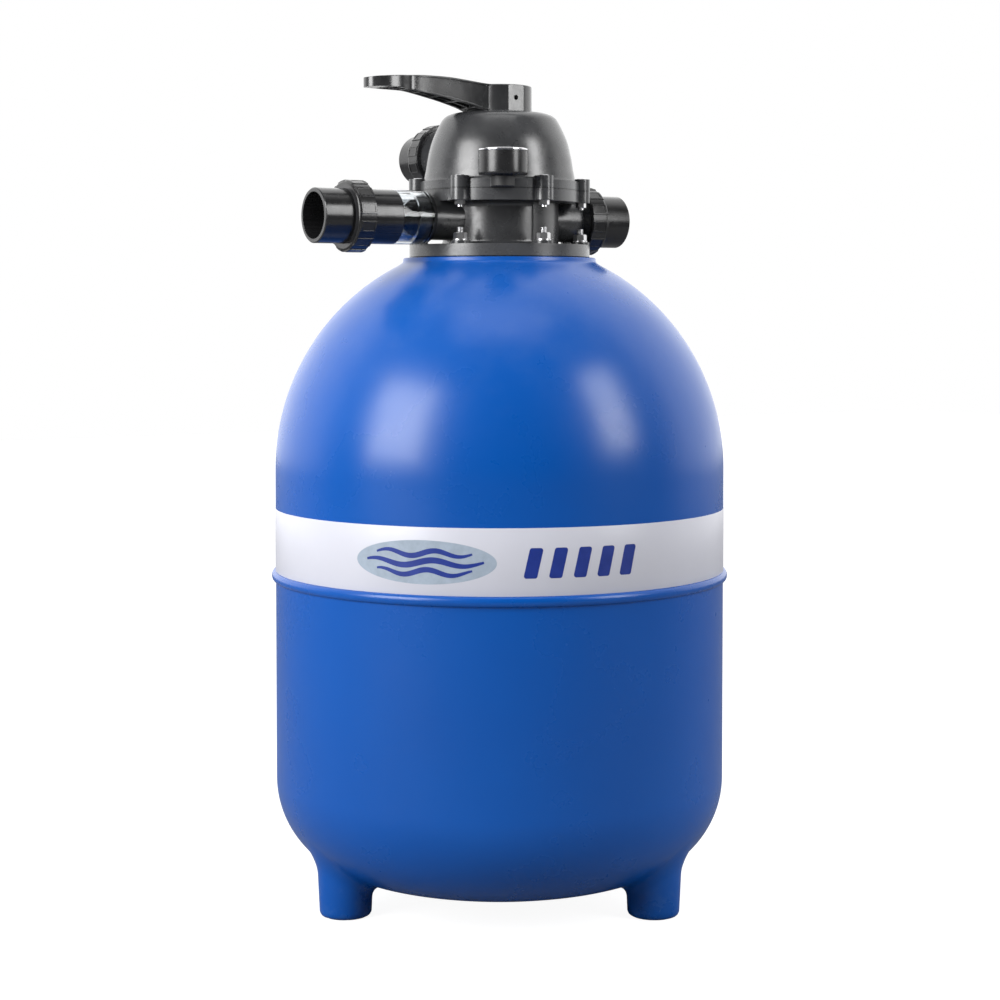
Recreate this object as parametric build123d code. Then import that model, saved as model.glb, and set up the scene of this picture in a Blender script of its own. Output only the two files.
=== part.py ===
from build123d import *
import os
from math import acos, atan2, cos, radians, sin, sqrt

# Top-mount sand filter: a rotomoulded tank on three integral feet, with a
# six-way multiport valve bolted to its neck.
# Frame: origin on the tank's axis at floor level, +Z up.  The waste port (with
# the sight glass) and the handle point along -X, the return port along +X and
# the pump port, on the valve cover, along +Y.  Units are millimetres.
# In names, R is a radius, PCR a pitch circle radius, Z a height above the
# floor, L a distance along a port from the valve's axis, and T a thickness.

# ---------------------------------------------------------- shared dimensions
# Tank
TANK_R = 250.0            # outside of the wall
WALL = 6.0
NECK_BORE_R = 72.0
NECK_TOP_Z = 714.0
SAND_TOP_Z = 365.0
RISER_R = 25.0

# Neck joint and the valve's bolt circles
BOLT_ANGLES = [30 + 60 * k for k in range(6)]
STUD_PCR, STUD_R = 90.0, 4.0         # M8
LUG_PCR, LUG_R, LUG_TOP_Z = 91.0, 10.0, 801.6
SCREW_R, SCREW_HOLE_R = 3.0, 3.3     # M6
HEAD_SEAT_Z = 797.6                  # bottom of the screw heads' counterbores
PAD_Z = 731.7                        # raised pads under the flange nuts

# Valve
FLANGE_R = 88.0                      # body and cover flanges
FLANGE_Z0, FLANGE_Z1, FLANGE_Z2 = 775.3, 788.5, 798.3    # FLANGE_Z1 is the joint
PORT_Z = 757.0                       # axis of the waste and return ports
PUMP_Z = 832.0                       # axis of the pump port
STUB_R = 24.0                        # outside of the port stubs
PORT_BORE_R = 19.5
CHAMBER_R0, CHAMBER_R1 = 31.5, 57.5  # ring of chambers in the body
OPENING_R0, OPENING_R1 = 34, 56      # openings in the base and the rotor
SEAT_R = 64.0                        # recess for the spider gasket and rotor
SEAT_Z = 782.0                       # top of the seat ribs
GASKET_T = 3.0
PILOT_R = 6.0
COVER_TOP_Z = 873.0
STEM_R = 9.0
STEM_SEAL_Z = (855.0, 861.0)
RUN = 0.06                           # radial running clearance

# Unions
COLLAR_R = 33.5                      # threaded end of each port
UNION_L = {"waste": 175.6, "return": 101.0, "pump": 120.0}   # nut's inner end
JOINT_FACE = 13.4                    # joint face, from the nut's inner end

# Handle pin and gauge
PIN_Z, PIN_R = 890.0, 2.5
HANDLE_Z0 = 875.5
GAUGE_ANGLE, GAUGE_PCR = 240.0, 110.8


# ------------------------------------------------------------------- helpers
def rz(r, z):
    return Vector(r, 0, z)


def path(*points):
    """Straight edges through (r, z) points."""
    return [Edge.make_line(rz(*a), rz(*b)) for a, b in zip(points, points[1:])]


def arc(start, middle, end):
    return Edge.make_three_point_arc(rz(*start), rz(*middle), rz(*end))


def spline(points, **options):
    return Edge.make_spline([rz(*p) for p in points], **options)


def spin(edges):
    """Revolve a closed outline in the XZ half-plane about Z."""
    return Solid.revolve(Face(Wire(edges)), 360, Axis.Z)


def ring(points):
    """Revolve a closed polygon of (r, z) points about Z."""
    return spin(path(*points, points[0]))


def tube(r0, r1, z0, z1):
    return ring([(r0, z0), (r1, z0), (r1, z1), (r0, z1)])


def cyl(r, z0, z1, x=0.0, y=0.0):
    return Pos(x, y, (z0 + z1) / 2) * Cylinder(r, z1 - z0)


def cone(r0, r1, z0, z1, x=0.0, y=0.0):
    return Pos(x, y, (z0 + z1) / 2) * Cone(r0, r1, z1 - z0)


def torus(major_r, minor_r, z):
    return Pos(0, 0, z) * Torus(major_r, minor_r)


def block(x0, x1, y0, y1, z0, z1):
    return Pos((x0 + x1) / 2, (y0 + y1) / 2, (z0 + z1) / 2) * Box(x1 - x0, y1 - y0, z1 - z0)


def wedge(r0, r1, middle, half, z0, z1):
    """A ring sector, "half" degrees to each side of the "middle" angle."""
    full = tube(r0, r1, z0, z1)
    middle, half = radians(middle), radians(half)
    far = r1 * 1.6
    kite = [(0, 0),
            (far * cos(middle - half), far * sin(middle - half)),
            (far / cos(half) * cos(middle), far / cos(half) * sin(middle)),
            (far * cos(middle + half), far * sin(middle + half))]
    return full & (Pos(0, 0, z0 - 1) * extrude(Polygon(*kite, align=None), z1 - z0 + 2))


def hexagon(across_flats, z0, z1, x=0.0, y=0.0, angle=0.0):
    outline = RegularPolygon(across_flats / 2, 6, major_radius=False)
    return Pos(x, y, z0) * turn(angle) * extrude(outline, z1 - z0)


def turn(angle):
    return Rot(0, 0, angle)


def radial(angle, z):
    """Lays a piece modelled along +Z outwards from the axis at an angle."""
    return turn(angle) * Location((0, 0, z), (0, 90, 0))


def polar(r, angle):
    return r * cos(radians(angle)), r * sin(radians(angle))


def fuse(first, *others):
    for other in others:
        first = first + other
    return first


def cut(shape, *tools):
    for tool in tools:
        shape = shape - tool
    return shape


def rims(shape, r, z, tolerance=0.05):
    """Circular edges of radius r centred at height z."""
    return [e for e in shape.edges() if e.geom_type == GeomType.CIRCLE
            and abs(e.radius - r) < tolerance and abs(e.center().Z - z) < tolerance]


def soften(shape, edges, size):
    """Fillet the edges, or leave them sharp."""
    if not edges:
        return shape
    # guards against fillets the kernel refuses or builds badly
    try:
        out = fillet(edges, size)
        if out.is_valid:
            return out
    except Exception:
        pass
    return shape


def group(shapes):
    return Compound(children=list(shapes))


STUD_SPOTS = [polar(STUD_PCR, a) for a in BOLT_ANGLES]
LUG_SPOTS = [polar(LUG_PCR, a) for a in BOLT_ANGLES]
GAUGE_X, GAUGE_Y = polar(GAUGE_PCR, GAUGE_ANGLE)

# Each lays a piece modelled along +Z (0 at the valve's axis) onto a port's axis.
PORT_AXIS = {"waste": Location((0, 0, PORT_Z), (0, -90, 0)),
             "return": Location((0, 0, PORT_Z), (0, 90, 0)),
             "pump": Location((0, 0, PUMP_Z), (-90, 0, 0))}

# ---------------------------------------------------------------- tank shell
DISH_Z = 10.0             # lowest point of the dished bottom
CROWN_R = 620.0           # crown radius of the dished bottom
KNUCKLE_R = 105.0
KNUCKLE_PCR = TANK_R - KNUCKLE_R
CENTRES = CROWN_R - KNUCKLE_R        # from crown centre to knuckle centre
CROWN_Z = DISH_Z + CROWN_R           # height of the crown's centre
KNUCKLE_Z = CROWN_Z - sqrt(CENTRES ** 2 - KNUCKLE_PCR ** 2)
WALL_TOP_Z = 480.0        # where the straight wall meets the dome
DOME_H = 252.7            # vertical half axis of the dome
NECK_R = 107.5            # flat neck plate on top of the dome
NECK_SIDE = 4.0           # thickness of the neck's side
NECK_PLATE_Z = 701.5      # underside of the neck plate
STUD_HOLE_Z = 703.2       # bottom of the blind stud holes
BEAD_Z, BEAD_HALF, BEAD_OUT = 362.0, 5.5, 4.5    # moulded bead round the wall
BAND_Z0, BAND_Z1, BAND_T = 367.6, 437.0, 0.4     # printed band
FOOT_R0, FOOT_R1, FOOT_TOP_Z = 28.0, 31.5, 75
FOOT_WALL = 6.0
FOOT_SPOTS = [polar(193.0, a) for a in (178.0, 298.0, 58.0)]


def dish(inset):
    """Edges of the dished bottom, moved inwards, with their first and last points."""
    crown, knuckle = CROWN_R - inset, KNUCKLE_R - inset
    unit_r, unit_z = KNUCKLE_PCR / CENTRES, (KNUCKLE_Z - CROWN_Z) / CENTRES
    bottom = (0, CROWN_Z - crown)
    middle_r = crown * 0.5 * unit_r
    middle = (middle_r, CROWN_Z - sqrt(crown ** 2 - middle_r ** 2))
    tangent = (crown * unit_r, CROWN_Z + crown * unit_z)
    angle = atan2(unit_z, unit_r) / 2
    knuckle_middle = (KNUCKLE_PCR + knuckle * cos(angle), KNUCKLE_Z + knuckle * sin(angle))
    wall = (KNUCKLE_PCR + knuckle, KNUCKLE_Z)
    return [arc(bottom, middle, tangent), arc(tangent, knuckle_middle, wall)], bottom, wall


def dome(end_r, inset=0.0, steps=10):
    """The elliptical dome from the wall up to radius end_r, and its last point."""
    half_r, half_z = TANK_R - inset, DOME_H - inset
    end_angle = acos(end_r / half_r)
    angles = [end_angle * i / steps for i in range(steps + 1)]
    points = [(half_r * cos(a), WALL_TOP_Z + half_z * sin(a)) for a in angles]
    end_tangent = rz(-half_r * sin(end_angle), half_z * cos(end_angle))
    return spline(points, tangents=[rz(0, 1), end_tangent]), points[-1]


def tank_outside():
    dish_edges, bottom, wall = dish(0.0)
    dome_edge, dome_end = dome(NECK_R)
    bead_low, bead_high = (TANK_R, BEAD_Z - BEAD_HALF), (TANK_R, BEAD_Z + BEAD_HALF)
    outside = spin(dish_edges + path(wall, bead_low)
                   + [arc(bead_low, (TANK_R + BEAD_OUT, BEAD_Z), bead_high)]
                   + path(bead_high, (TANK_R, WALL_TOP_Z)) + [dome_edge]
                   + path(dome_end, (NECK_R, NECK_TOP_Z), (0, NECK_TOP_Z), bottom))
    for x, y in FOOT_SPOTS:
        foot = cone(FOOT_R0, FOOT_R1, 0, FOOT_TOP_Z, x, y)
        outside = outside + soften(foot, rims(foot, FOOT_R0, 0), 5.0)
    # the curves where the feet run into the dished bottom
    foot_joints = [e for e in outside.edges()
                   if e.geom_type not in (GeomType.CIRCLE, GeomType.LINE)
                   and e.center().Z < 120 and 10 < e.length < 400]
    outside = soften(outside, foot_joints, 12.0)
    outside = soften(outside, rims(outside, NECK_R, NECK_TOP_Z), 1.5)
    return soften(outside, rims(outside, NECK_R, dome_end[1], 0.3), 3.0)


def tank_cavity():
    dish_edges, bottom, wall = dish(WALL)
    dome_edge, dome_end = dome(NECK_R - NECK_SIDE, WALL)
    above = NECK_TOP_Z + 5
    cavity = spin(dish_edges + path(wall, (TANK_R - WALL, WALL_TOP_Z)) + [dome_edge]
                  + path(dome_end, (dome_end[0], NECK_PLATE_Z), (NECK_BORE_R, NECK_PLATE_Z),
                         (NECK_BORE_R, above), (0, above), bottom))
    return fuse(cavity, *(cone(FOOT_R0 - FOOT_WALL, FOOT_R1 - FOOT_WALL, FOOT_WALL, FOOT_TOP_Z,
                               x, y) for x, y in FOOT_SPOTS))


def tank_shell():
    return cut(tank_outside(), tank_cavity(),
               *(cyl(STUD_R + 0.02, STUD_HOLE_Z, NECK_TOP_Z + 1, x, y) for x, y in STUD_SPOTS))


def label_band():
    return tube(TANK_R + 0.02, TANK_R + BAND_T, BAND_Z0, BAND_Z1)


# ----------------------------------------------------------- inside the tank
HUB_LOW_Z, HUB_HIGH_Z, HUB_R = 40.0, 92.0, 36    # lateral hub
HUB_NECK_R, HUB_NECK_H = 31, 26                  # riser socket on top of the hub
LATERAL_Z = 66.0
LATERAL_R = 12.5
LATERAL_START, LATERAL_LEN = 36.5, 138.0         # distances along the lateral
LATERAL_END = LATERAL_START + LATERAL_LEN
LATERAL_AXES = [radial(45 * k + 22.5, LATERAL_Z) for k in range(8)]
SLOT_START, SLOT_PITCH, SLOT_W, SLOT_COUNT = 58, 5.0, 0.8, 22
SLOT_DEPTH_R = 6.5                               # the slots reach in this far
RISER_WALL, RISER_TOP_Z = 2.6, 738.0
SAND_GAP = 0.4                                   # between the sand and the wall
DIFFUSER_Z0, DIFFUSER_Z1 = 655.0, 705.9


def lateral_hub():
    """A socket for the riser, with eight radial sockets round it."""
    hub = fuse(cyl(HUB_R, HUB_LOW_Z, HUB_HIGH_Z),
               *(axis * cyl(16.5, 20, 50) for axis in LATERAL_AXES),
               cyl(HUB_NECK_R, HUB_HIGH_Z - 1, HUB_HIGH_Z + HUB_NECK_H))
    hub = cut(hub, cyl(RISER_R + 0.05, LATERAL_Z + 16, HUB_HIGH_Z + 40),
              cyl(22, HUB_LOW_Z + 6, LATERAL_Z + 20))
    for axis in LATERAL_AXES:
        hub = cut(hub, axis * cyl(9.0, 10, 60), axis * cyl(LATERAL_R + 0.05, 36, 60))
    return hub


def laterals():
    """Eight thin tubes, slotted on both sides."""
    slots = []
    for i in range(SLOT_COUNT):
        low = SLOT_START + i * SLOT_PITCH
        for side in (0, 180):
            slots.append(turn(side) * block(SLOT_DEPTH_R, 20, -20, 20, low, low + SLOT_W))
    lateral = tube(10.3, LATERAL_R, LATERAL_START, LATERAL_END) - fuse(*slots)
    return group(axis * lateral for axis in LATERAL_AXES)


def lateral_caps():
    cap = cyl(10.25, LATERAL_END - 8, LATERAL_END + 0.5)
    cap = cap + cyl(LATERAL_R, LATERAL_END, LATERAL_END + 3)
    cap = cap - cyl(8.0, LATERAL_END - 9, LATERAL_END - 1)
    return group(axis * cap for axis in LATERAL_AXES)


def riser_pipe():
    return tube(RISER_R - RISER_WALL, RISER_R, LATERAL_Z + 16.2, RISER_TOP_Z)


def sand_bed():
    """Fills the dish and the wall round the hub, laterals and riser."""
    dish_edges, bottom, wall = dish(WALL + SAND_GAP)
    sand = spin(dish_edges + path(wall, (TANK_R - WALL - SAND_GAP, SAND_TOP_Z),
                                  (0, SAND_TOP_Z), bottom))
    void = fuse(cyl(HUB_R + 0.5, HUB_LOW_Z - 0.5, HUB_HIGH_Z + 0.5),
                cyl(HUB_NECK_R + 0.5, HUB_HIGH_Z - 1, HUB_HIGH_Z + HUB_NECK_H + 0.5),
                cyl(RISER_R + 0.5, HUB_HIGH_Z, SAND_TOP_Z + 5))
    for axis in LATERAL_AXES:
        void = void + axis * (cyl(17.0, 20, 50.5) + cyl(LATERAL_R + 0.5, 40, LATERAL_END + 3.5))
    return sand - void


def top_diffuser():
    """A slotted basket hung under the valve, round the riser."""
    low, high, inner = DIFFUSER_Z0, DIFFUSER_Z1, RISER_R + 1.5
    basket = ring([(inner, low), (50, low), (58, low + 8), (58, 700), (69.5, 700), (69.5, high),
                   (55, high), (55, low + 9.5), (49, low + 3), (inner, low + 3)])
    return basket - fuse(*(turn(20 * k) * block(50, 64, -2.0, 2.0, low + 14, 694)
                           for k in range(18)))


# ---------------------------------------------------------------- neck joint
STUD_Z0, STUD_Z1 = 703.5, 746.3
NUT_Z0, NUT_Z1, NUT_FLATS = 733.4, 740.3, 13.0   # flange nuts, on their washers


def neck_studs():
    studs = []
    for x, y in STUD_SPOTS:
        stud = cyl(STUD_R, STUD_Z0, STUD_Z1, x, y)
        studs.append(chamfer(rims(stud, STUD_R, STUD_Z1), 0.8))
    return group(studs)


def flange_nuts():
    nuts = []
    for angle, (x, y) in zip(BOLT_ANGLES, STUD_SPOTS):
        # the hexagon's corners are bevelled above and below
        envelope = fuse(cone(8.4, 6.4, 738.6, 740.4, x, y), cyl(8.4, 734.8, 738.6, x, y),
                        cone(6.4, 8.4, 733.3, 734.8, x, y))
        nut = hexagon(NUT_FLATS, NUT_Z0, NUT_Z1, x, y, angle) & envelope
        nuts.append(nut - cyl(STUD_R + 0.02, 730, 745, x, y))
    return group(nuts)


def flange_washers():
    return group(cyl(8.2, PAD_Z, NUT_Z0, x, y) - cyl(4.3, PAD_Z - 1, 734, x, y)
                 for x, y in STUD_SPOTS)


def neck_gasket():
    return tube(74.0, 83.5, NECK_TOP_Z, 717.0)


# ---------------------------------------------------------------- valve body
BASE_R, BASE_Z0, BASE_Z1 = 100.5, 714.9, 728.3   # base flange
WAIST_R = 63.5
WAIST_STEP_R = 65.8       # thicker sectors of the waist
FLOW_R = 21.5             # central flow tube above the riser


def port_end(union_l, root):
    """A plain stub, then the threaded collar that takes a union nut, along +Z."""
    return fuse(cyl(STUB_R, root, union_l + 1.0),
                cone(STUB_R, COLLAR_R - 1.5, union_l - 3.5, union_l + 1.0),
                cyl(COLLAR_R, union_l + 0.9, union_l + JOINT_FACE))


def face_groove(union_l):
    """The o-ring groove in a collar's joint face."""
    return tube(25.0, 28.6, union_l + JOINT_FACE - 2.3, union_l + JOINT_FACE + 1)


def valve_body():
    body = ring([(0, BASE_Z0), (BASE_R, BASE_Z0), (BASE_R, BASE_Z1), (WAIST_R, BASE_Z1),
                 (WAIST_R, FLANGE_Z0), (FLANGE_R, FLANGE_Z0), (FLANGE_R, FLANGE_Z1),
                 (0, FLANGE_Z1)])
    for stud, lug in zip(STUD_SPOTS, LUG_SPOTS):
        body = body + cyl(10.4, BASE_Z1 - 2, PAD_Z, *stud)
        body = body + cyl(LUG_R, FLANGE_Z0, FLANGE_Z1, *lug)
    body = soften(body, rims(body, WAIST_R, BASE_Z1), 5.0)
    body = soften(body, rims(body, WAIST_R, FLANGE_Z0), 6.0)
    # thicker waist on either side of the return port
    for middle in (55.0, 305.0):
        body = body + wedge(50.0, WAIST_STEP_R, middle, 32.5, BASE_Z1 - 1, FLANGE_Z0 + 1)
    body = fuse(body, PORT_AXIS["waste"] * cyl(STUB_R, 0, 116.0),
                PORT_AXIS["return"] * port_end(UNION_L["return"], 0))
    # spigot that locates the valve in the neck, and the riser socket
    body = fuse(body, tube(60.0, 70.0, 706.0, 715.5), cyl(31.5, 692.0, 720.0))
    # chambers between the ribs, open at the top to the rotor
    chambers = cut(tube(CHAMBER_R0, CHAMBER_R1, 722.0, FLANGE_Z1 + 1),
                   *(turn(a) * block(25, 70, -2.2, 2.2, 700, SEAT_Z) for a in BOLT_ANGLES))
    body = cut(body, chambers, cyl(SEAT_R, SEAT_Z, FLANGE_Z1 + 1))
    # riser socket, flow tube and the rotor's pilot hole
    body = cut(body, cyl(RISER_R + 0.05, 690, 738.2), cyl(FLOW_R, 738, 774),
               cyl(PILOT_R, 770, SEAT_Z + 1))
    # window from the flow tube into one chamber
    body = body - turn(120) * block(15, 40, -9, 9, 742, 771)
    # tank openings through the base, into three of the chambers
    for middle in (60, 240, 300):
        body = body - wedge(OPENING_R0, OPENING_R1, middle, 24, 700, 724)
    for port in ("waste", "return"):
        body = body - PORT_AXIS[port] * cyl(PORT_BORE_R, 45, 130)
    # grooves for the union o-ring, the neck gasket and the cover o-ring
    body = cut(body, PORT_AXIS["return"] * face_groove(UNION_L["return"]),
               tube(73.6, 84.0, BASE_Z0 - 1, 717.1),
               tube(79.6, 83.4, FLANGE_Z1 - 3.5, FLANGE_Z1 + 1))
    for stud, lug in zip(STUD_SPOTS, LUG_SPOTS):
        body = cut(body, cyl(4.5, 700, 735, *stud), cyl(SCREW_HOLE_R, 770, 795, *lug))
    return body


# ---------------------------------------------------------- inside the valve
ROTOR_Z0, ROTOR_Z1 = SEAT_Z + GASKET_T, 794.0    # rotor disc
ROTOR_R = 62
COLLAR_TOP_Z, SHOULDER_TOP_Z = 802, 812          # steps between disc and stem
STEM_TOP_Z = 897.0
STEM_FLAT = 6.0                                  # half width over the stem's flats
SPRING_Z0, SPRING_Z1 = 802.0, 864.4
SPRING_R, SPRING_WIRE_R, SPRING_TURNS = 20.6, 1.6, 5.5
SPRING_GAP = 0.1                                 # clearance at each end of the spring


def spider_gasket():
    top = SEAT_Z + GASKET_T
    return fuse(tube(CHAMBER_R1, SEAT_R - 0.1, SEAT_Z, top), tube(10.0, 31.4, SEAT_Z, top),
                *(turn(a) * block(31.0, 58.0, -2.1, 2.1, SEAT_Z, top) for a in BOLT_ANGLES))


def cover_oring():
    return torus(81.5, 1.7, FLANGE_Z1 - 1.75)


def cross_rod(r, length):
    """A cylinder along Y, on the handle pin's axis."""
    return Location((0, 0, PIN_Z), (90, 0, 0)) * Cylinder(r, length)


def rotor():
    """Disc with a through opening and a bridging recess, spring seat and stem."""
    shape = ring([(0, ROTOR_Z0), (ROTOR_R, ROTOR_Z0), (ROTOR_R, ROTOR_Z1), (26, ROTOR_Z1),
                  (26, COLLAR_TOP_Z), (17, COLLAR_TOP_Z), (17, SHOULDER_TOP_Z),
                  (STEM_R, SHOULDER_TOP_Z), (STEM_R, STEM_TOP_Z), (0, STEM_TOP_Z)])
    shape = shape + cyl(PILOT_R - RUN, 773.0, ROTOR_Z0 + 1)
    shape = shape - wedge(OPENING_R0, OPENING_R1, 60, 25, ROTOR_Z0 - 1, ROTOR_Z1 + 1)
    shape = shape - wedge(OPENING_R0, OPENING_R1, 150, 55, ROTOR_Z0 - 1, ROTOR_Z0 + 5)
    # ribs on the disc, left off at and beside the through opening
    for k in (0, *range(4, 12)):
        shape = shape + turn(30 * k) * block(25, 60, -1.5, 1.5, ROTOR_Z1 - 1, ROTOR_Z1 + 4)
    shape = cut(shape, block(-12, 12, STEM_FLAT, 12, 877.5, 900),
                block(-12, 12, -12, -STEM_FLAT, 877.5, 900), cross_rod(PIN_R + 0.02, 40))
    top_edges = [e for e in shape.edges() if abs(e.center().Z - STEM_TOP_Z) < 0.01]
    return soften(shape, top_edges, 0.8)


def rotor_spring():
    """Compression spring round the stem, between the rotor and the cover."""
    coil_height = SPRING_Z1 - SPRING_Z0 - 2 * SPRING_WIRE_R - 2 * SPRING_GAP
    pitch = coil_height / SPRING_TURNS
    coil = Helix(pitch, pitch * SPRING_TURNS, SPRING_R)
    wire = Plane(origin=coil @ 0, z_dir=coil % 0) * Circle(SPRING_WIRE_R)
    spring = sweep(wire, path=coil, is_frenet=True)
    return Pos(0, 0, SPRING_Z0 + SPRING_WIRE_R + SPRING_GAP) * spring


def spring_washer():
    return tube(17.4, 25.0, SPRING_Z1 + 0.1, 865.9)


def stem_orings():
    return group(torus(10.35, 1.3, z) for z in STEM_SEAL_Z)


# --------------------------------------------------------------- valve cover
# (r, z) up the outside of the cover's dome
COVER_OUTSIDE = [
    (85.5, FLANGE_Z2), (84.3, 800.6), (83.4, 805.0), (82.2, 811.0), (81.0, 818.5), (78.9, 829.7),
    (76.1, 840.9), (71.6, 852.1), (66.0, 863.3), (62.1, 868.9), (56.0, 872.6), (46.5, 874.5)]
# (r, z) up the inside of the dome
COVER_INSIDE = [(77.0, 806.0), (75.5, 818.5), (73.4, 829.7), (70.5, 840.0), (66.3, 850.5),
                (60.5, 860.5), (55.0, 865.0)]
CEILING_Z = 866.0
GAUGE_BOSS_R, GAUGE_BOSS_Z = 12.5, 799.0


def cover_hollow():
    """The inside of the cover, less the boss round the stem."""
    low = FLANGE_Z1 - 1
    hollow = spin(path((0, low), (77.0, low), COVER_INSIDE[0]) + [spline(COVER_INSIDE)]
                  + path(COVER_INSIDE[-1], (50.0, CEILING_Z), (0, CEILING_Z), (0, low)))
    return hollow - cyl(16.9, 846.0, 870.0)


def valve_cover():
    cover = spin(path((0, FLANGE_Z1), (FLANGE_R, FLANGE_Z1), (FLANGE_R, FLANGE_Z2),
                      COVER_OUTSIDE[0])
                 + [spline(COVER_OUTSIDE)]
                 + path(COVER_OUTSIDE[-1], (40.0, 874.5), (39.0, COVER_TOP_Z),
                        (0, COVER_TOP_Z), (0, FLANGE_Z1)))
    for lug in LUG_SPOTS:
        cover = cover + (cyl(LUG_R, FLANGE_Z1, LUG_TOP_Z, *lug) - cyl(80, FLANGE_Z1 - 1, 810))
    # pump port with its root boss
    pump = PORT_AXIS["pump"]
    cover = fuse(cover, pump * port_end(UNION_L["pump"], 40), pump * cone(28.0, 25.0, 60, 88))
    # boss that carries the gauge
    boss = cyl(GAUGE_BOSS_R, FLANGE_Z1, GAUGE_BOSS_Z, GAUGE_X, GAUGE_Y)
    cover = cover + (boss + turn(GAUGE_ANGLE) * block(80, GAUGE_PCR, -GAUGE_BOSS_R, GAUGE_BOSS_R,
                                                      FLANGE_Z1, GAUGE_BOSS_Z))
    cover = cut(cover, cover_hollow(), cyl(STEM_R + RUN, 840, 880),
                *(tube(8.0, 11.7, z - 1.35, z + 1.35) for z in STEM_SEAL_Z),
                pump * cyl(PORT_BORE_R, 60, 140), pump * face_groove(UNION_L["pump"]))
    for lug in LUG_SPOTS:
        cover = cut(cover, cyl(SCREW_HOLE_R, 780, 810, *lug), cyl(6.6, HEAD_SEAT_Z, 806, *lug))
    # socket for the gauge stem and its passage from the cover's inside
    return cut(cover, cyl(5.0, 791.0, 800.0, GAUGE_X, GAUGE_Y),
               radial(GAUGE_ANGLE, 793.5) * cyl(1.8, 70, GAUGE_PCR))


# -------------------------------------------------------------- cover screws
HEAD_Z0 = HEAD_SEAT_Z + 1.2          # underside of the heads, on their washers
HEAD_Z1, HEAD_R = HEAD_Z0 + 3.8, 5.4


def cover_screws():
    """Pan-headed screws with a cross recess."""
    screws = []
    for angle, (x, y) in zip(BOLT_ANGLES, LUG_SPOTS):
        head = cyl(HEAD_R, HEAD_Z0, HEAD_Z1, x, y)
        head = soften(head, rims(head, HEAD_R, HEAD_Z1), 1.4)
        screw = cyl(SCREW_R, 767.8, HEAD_Z0 + 0.5, x, y) + head
        for quarter in (0, 90):
            screw = screw - Pos(x, y, 0) * turn(angle + quarter) * block(
                -3.0, 3.0, -0.6, 0.6, HEAD_Z0 + 1.6, HEAD_Z0 + 5)
        screws.append(screw)
    return group(screws)


def cover_washers():
    return group(cyl(6.2, HEAD_SEAT_Z, HEAD_Z0, x, y) - cyl(SCREW_HOLE_R, 790, 804, x, y)
                 for x, y in LUG_SPOTS)


def cover_nuts():
    """Nuts below the body's lugs, bevelled underneath."""
    nuts = []
    for angle, (x, y) in zip(BOLT_ANGLES, LUG_SPOTS):
        envelope = cone(5.0, 6.2, 770.1, 771.2, x, y) + cyl(6.2, 771.2, 775.4, x, y)
        nut = hexagon(10.0, 770.2, FLANGE_Z0, x, y, angle) & envelope
        nuts.append(nut - cyl(SCREW_R + 0.02, 765, 780, x, y))
    return group(nuts)


# --------------------------------------------------------------- sight glass
SIGHT_L0, SIGHT_L1, SIGHT_R = 101.0, 138.0, 29.5
GLASS_STEP_L = 116.3      # the glass slides over the stub up to here
BUSH_STEP_L = 158.0       # the bushing slides over the glass up to here
BUSH_L1 = 175.4           # end of the bushing's plain barrel


def sight_seal():
    return PORT_AXIS["waste"] * tube(STUB_R + 0.05, 27.5, 96.0, SIGHT_L0)


def sight_glass():
    return PORT_AXIS["waste"] * fuse(tube(STUB_R + 0.05, SIGHT_R, SIGHT_L0, GLASS_STEP_L),
                                     tube(PORT_BORE_R + 0.5, SIGHT_R, GLASS_STEP_L, SIGHT_L1),
                                     tube(20.0, STUB_R, SIGHT_L1 - 18, 154.0))


def waste_bushing():
    """Carries the waste union's collar on the outer end of the glass."""
    union_l = UNION_L["waste"]
    bushing = fuse(tube(STUB_R + 0.05, SIGHT_R, SIGHT_L1, BUSH_STEP_L),
                   tube(PORT_BORE_R, SIGHT_R, BUSH_STEP_L, BUSH_L1),
                   tube(PORT_BORE_R, COLLAR_R - 1.0, BUSH_L1, union_l + 2),
                   tube(PORT_BORE_R, COLLAR_R, union_l + 1.2, union_l + JOINT_FACE))
    return PORT_AXIS["waste"] * (bushing - face_groove(union_l))


def bushing_oring():
    return PORT_AXIS["waste"] * torus(22.0, 1.6, 156.0)


# -------------------------------------------------------------------- unions
NUT_LEN = 21.6
NUT_R = 37.9              # nut body
NUT_GRIP_R = 38.85        # over the raised grips
NUT_ROUND = 3.2           # rounding of the nut's outer end
NUT_THREAD_R = 33.6
NUT_END = 18.2            # inside face of the nut's end wall
TAIL_R = 29.5             # pipe adapter, outside
TAIL_BORE_R = 22.0
TAIL_END = 57.0           # adapter's outer end, from the nut's inner end
SOCKET_R, SOCKET_LEN = 25.1, 31.0    # solvent socket for 50 mm pipe


def rounded_disc(r, z0, z1, rounding, bevel=0.8):
    """A disc bevelled at z0 and rounded at z1."""
    middle = rounding * (1 - sqrt(0.5))
    side, top = (r, z1 - rounding), (r - rounding, z1)
    return spin(path((0, z0), (r - bevel, z0), (r, z0 + bevel), side)
                + [arc(side, (r - middle, z1 - middle), top)]
                + path(top, (0, z1), (0, z0)))


def union_nut(port):
    """Ring nut with twelve raised grips, each a thin frame."""
    start = UNION_L[port]
    end = start + NUT_LEN
    nut = rounded_disc(NUT_R, start, end, NUT_ROUND)
    for k in range(12):
        spot = turn(30 * k + 11)
        pad = spot * block(NUT_R - 3, NUT_GRIP_R + 2, -6.0, 6.0, start + 0.8, end - 1.0)
        panel = spot * block(NUT_R + 0.4, NUT_GRIP_R + 2, -4.4, 4.4, start + 2.6, end - 4.6)
        nut = nut + ((pad & rounded_disc(NUT_GRIP_R, start, end, NUT_ROUND)) - panel)
    nut = cut(nut, cyl(NUT_THREAD_R, start - 1, start + NUT_END),
              cyl(TAIL_R + 0.1, start, start + 30))
    return PORT_AXIS[port] * nut


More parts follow.
